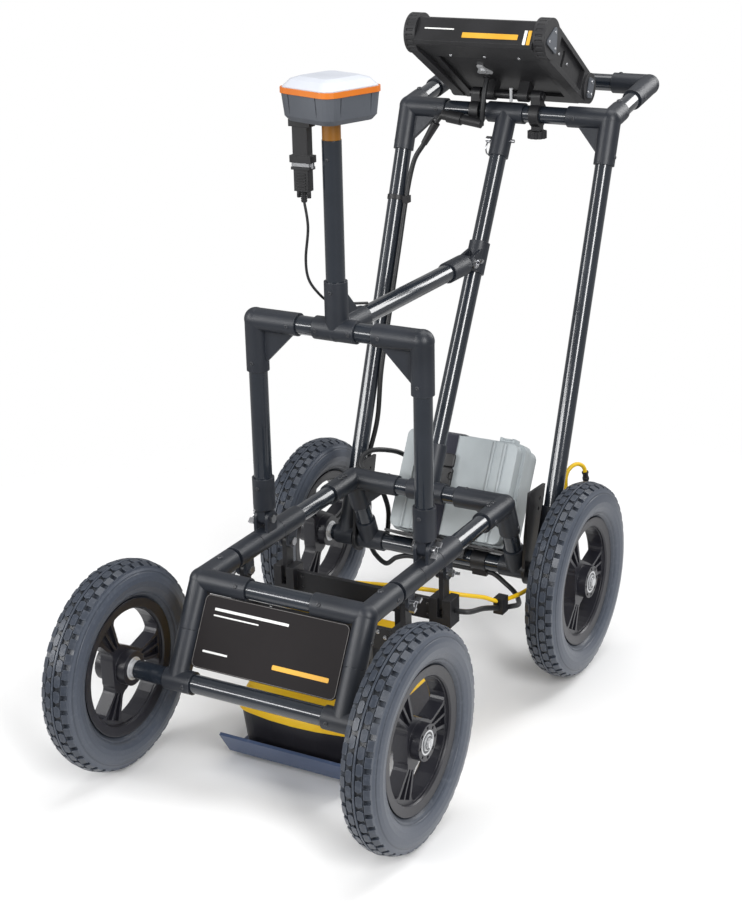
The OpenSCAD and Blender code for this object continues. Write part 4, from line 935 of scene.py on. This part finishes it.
panel_line = outline_band(
    rounded(PANEL_W - 2.0, PANEL_H - 2.0, 8.0),
    rounded(PANEL_W - 3.4, PANEL_H - 3.4, 7.3), TRIM, on_panel,
)
pale_line = moulded("pale_line", (104, 101, 100), (132, 130, 128), 0.5)
white_stripe = moulded("white_stripe", (226, 226, 224), (236, 236, 234), 0.5)
ochre_stripe = moulded("ochre_stripe", (216, 160, 40), (228, 176, 58), 0.5)
piece("panel_line", [panel_line], "panel", "chassis", finish=pale_line)
white_bars = stripes(
    ((124, 4.0, -38, 34), (76, 2.2, -62, 25), (42, 3.0, -84, -28)), 1.0, on_panel
)
ochre_bars = stripes(((92, 7.0, 58, -28),), 1.5, on_panel)
piece("panel_white_stripe", white_bars, "white", "chassis", finish=white_stripe)
piece("panel_ochre_stripe", ochre_bars, "ochre", "chassis", finish=ochre_stripe)

# %% [markdown]
# ## The receiver's plug
# The plug under the receiver is a stack of mouldings with two thumb screws, a metal ring
# and a ribbed sleeve for the cable. The CAD stack stays, and fine pieces are set on it.

# %% Thumb screws, ring and ribs of the plug
UPRIGHT = (0, 0, 1)
thumb = [(2.6, -4), (3.6, -3.6), (3.6, 3.6), (2.6, 4)]
slim_thumb = [(2.4, -6), (2.8, -5.4), (2.8, 5.4), (2.4, 6)]


def on_ring(x, y, h):
    """A point of the metal ring, h above its lower face."""
    return at(PLUG_X + x, PLUG_Y + y, REC_Z - 65.5 + h)


def on_plug_front(x, z, h):
    """A point on the plug's front, z from the receiver and h out of the face."""
    return at(PLUG_X + x, PLUG_Y - 7 - h, REC_Z + z)


plug_steel = [
    turned(thumb, at(PLUG_X + s * 14.4, PLUG_Y, REC_Z - 64), UPRIGHT, 16) for s in (1, -1)
]
plug_steel.append(slab(rounded(28, 14, 1.5), 5.0, on_ring))
piece("plug_metal", plug_steel, "steel", "mast_frame")
grips = [slab(rounded(15, 2.0, 0.6, 0, -76 - k * 4), 1.2, on_plug_front) for k in range(6)]
grips += [
    turned(slim_thumb, at(PLUG_X + s * 8.4, PLUG_Y, REC_Z - 104), UPRIGHT, 12)
    for s in (1, -1)
]
piece("plug_grips", grips, "black_plastic", "mast_frame")
sleeve = []
for k in range(6):
    r = 5.6 - k * 0.2
    rib = [(r - 0.9, -0.8), (r, -0.5), (r, 0.5), (r - 0.9, 0.8)]
    sleeve.append(turned(rib, at(PLUG_X, PLUG_Y, REC_Z - 100.5 - k * 2.6), UPRIGHT, 18))
piece("plug_sleeve_ribs", sleeve, "black_plastic", "mast_frame")

# %% [markdown]
# ## Hubs
# The bearings and axle ends are satin steel. A dark seal lies in the groove of each
# bearing and a dark ring round each axle end, and these rings make the hub read as a
# bearing and not as a disc.

# %% Seals and rings, one pair for each wheel
HALF_TRACK, HUB = 241.0, 52.0  # from the middle to a wheel, and the width of its hub
SEAL = (14.8, 11.7, -0.8, -0.1)  # outer and inner radius, and reach past the hub's face
END_RING = (9.8, 7.2, 1.8, 2.0)
rings = []
for s in (1, -1):
    for y in (0, BASE):
        for outer, inner, low, high in (SEAL, END_RING):
            start = HALF_TRACK + HUB / 2 + low
            rings.append(outline_band(
                circle(outer), circle(inner), high - low,
                lambda a, b, n: at(s * (start + n), y + s * a, RADIUS + b),
            ))
piece("hub_seals", rings, "black_plastic", "chassis", finish=black_screw)

# %% [markdown]
# ## The display
# The housing leans on a rod over the top tube. Its front band gets plain stripes, its end
# plates and its underside get screws, its screen a dark border, and a small bright pin
# stands in its mount. What moves with the display is placed in the display's own frame,
# with y down the slope and z out of the screen, and rides with it as it tilts.

# %% The display's own frame
TILT = math.radians(32)
COS, SIN = math.cos(TILT), math.sin(TILT)
DISP_W, DISP_L, BUMPER = 244.0, 186.0, 20.0  # width, length and width of a bumper
DISP_BACK, DISP_UP = 44.0, 38.0  # from the rod to the upper end and to the middle
BODY_W = DISP_W - 2 * BUMPER
ROLL_Y = -(DISP_L - DISP_BACK)


def on_display(x, y, z):
    """A point of the display's frame as a Blender point."""
    return at(x, TOP_Y + y * COS + z * SIN, ROD_Z - y * SIN + z * COS)


def display_way(x, y, z):
    """A direction of the display's frame as one of the cart."""
    return (x, y * COS + z * SIN, -y * SIN + z * COS)


def on_band(x, y, n):
    """x across the front band, y up from the display's middle and n out of its face."""
    return on_display(x, ROLL_Y - 26 - n, DISP_UP + y)


# %% Stripes and screws of the display
band_white = stripes(((52, 2.4, -62, -3), (5, 24, 88, -12)), 0.8, on_band)
band_yellow = stripes(((96, 9, 28, -12), (6, 24, 95, -12)), 0.8, on_band)
piece("display_white_stripe", band_white, "white", "display", finish=white_stripe)
piece("display_yellow_stripe", band_yellow, "ochre", "display", finish=ochre_stripe)
display_screws = [
    screw(on_display(x, ROLL_Y + 29, DISP_UP - 23), display_way(0, 0, -1), 2.8)
    for x in (-60, 0, 60)
]
end_spots = (
    (ROLL_Y - 12, -10), (ROLL_Y + 14, -10), (ROLL_Y + 2, 12),
    (DISP_BACK - 8, -10), (DISP_BACK + 6, -8), (DISP_BACK - 2, 10),
)
for s in (1, -1):
    x = s * (BODY_W / 2 + BUMPER + 2.1)
    way = display_way(s, 0, 0)
    for y, z in end_spots:
        display_screws.append(screw(on_display(x, y, DISP_UP + z), way, 2.4))
    for y in (ROLL_Y + 56, ROLL_Y + 94):
        display_screws.append(screw(on_display(x - s * 11.1, y, DISP_UP), way, 2.8))
piece("display_screws", display_screws, "steel", "display")

# %% Pin of the mount and border of the screen
pin_profile = [(2.0, -10.0), (2.6, -9.4), (2.6, 9.0), (3.4, 9.4), (3.4, 12.4), (2.8, 13.0)]
mount_pin = turned(pin_profile, at(10, TOP_Y - 7.5, ROD_Z), UPRIGHT, 16)
piece("mount_pin", [mount_pin], "steel", "chassis", finish=satin)
SCREEN_Y, SCREEN_TOP = ROLL_Y + 6 + (DISP_L - 44) / 2, DISP_UP + 20.15
bezel = outline_band(
    rounded(BODY_W - 32, DISP_L - 48, 4, 0, SCREEN_Y),
    rounded(BODY_W - 48, DISP_L - 64, 3, 0, SCREEN_Y),
    TRIM, lambda x, y, n: on_display(x, y, SCREEN_TOP + n),
)
piece("screen_border", [bezel], "black_plastic", "display")

# %% [markdown]
# ## Studio
# The photograph has a white background and even light. A pale floor keeps the contact
# shadows and fades out with distance. The world is white where the camera looks at it, and
# dimmer as a light and in reflections, so that the background stays clean while the lamps
# light the object. The front lamp is wide and low, and stands to the left: from there each
# cross tube mirrors it as one thin bright line.

# %% Floor
FADE = (0.55, 1.25)  # metres from the middle
bpy.ops.mesh.primitive_circle_add(
    vertices=96, radius=3.0, fill_type="NGON", location=(0, 0, 0)
)
floor = bpy.context.object
floor.name = "studio_floor"
pale = Finish("studio_floor", Roughness=0.9)
away = pale.node("VectorMath", {"operation": "LENGTH"}, {0: pale.place}, out="Value")
pale.set(
    Base_Color=pale.mix(pale.noise(3), (0.88, 0.88, 0.88, 1), (0.9, 0.9, 0.9, 1)),
    Alpha=1.0 - pale.ramp(away, *FADE),
)
floor.data.materials.append(pale.material)

# %% World
WORLD_LIGHT, WORLD_SEEN = 0.36, 1.0
world = bpy.data.worlds.new("studio")
bpy.context.scene.world = world
world.use_nodes = True
tree = world.node_tree
ray = tree.nodes.new("ShaderNodeLightPath")
strength = tree.nodes.new("ShaderNodeMapRange")
tree.links.new(ray.outputs["Is Camera Ray"], strength.inputs["Value"])
strength.inputs["To Min"].default_value = WORLD_LIGHT
strength.inputs["To Max"].default_value = WORLD_SEEN
background = tree.nodes["Background"]
background.inputs["Color"].default_value = (1, 1, 1, 1)
tree.links.new(strength.outputs[0], background.inputs["Strength"])


# %% Soft boxes
def lamp(name, place, target, size, watts):
    """A soft box that looks from its place at a target, all in metres."""
    light = bpy.data.lights.new(name, "AREA")
    light.shape = "RECTANGLE"
    light.size, light.size_y = size
    light.energy = watts
    made = bpy.data.objects.new(name, light)
    made.location = place
    made.rotation_euler = (Vector(target) - Vector(place)).to_track_quat("-Z", "Y").to_euler()
    bpy.context.scene.collection.objects.link(made)


lamp("key", (2.6, -2.2, 2.3), (0, 0, 0.4), (0.9, 2.2), 104)
lamp("fill", (-2.7, -2.1, 1.9), (0, 0, 0.4), (0.7, 2.0), 44)
lamp("front", (-1.5, -3.2, 1.45), (0, 0, 0.3), (2.4, 0.45), 44)
lamp("top", (0.2, 0.7, 3.4), (0, 0, 0.3), (2.4, 2.4), 48)
lamp("rear", (1.4, 2.8, 2.0), (0, 0, 0.5), (1.2, 1.8), 45)
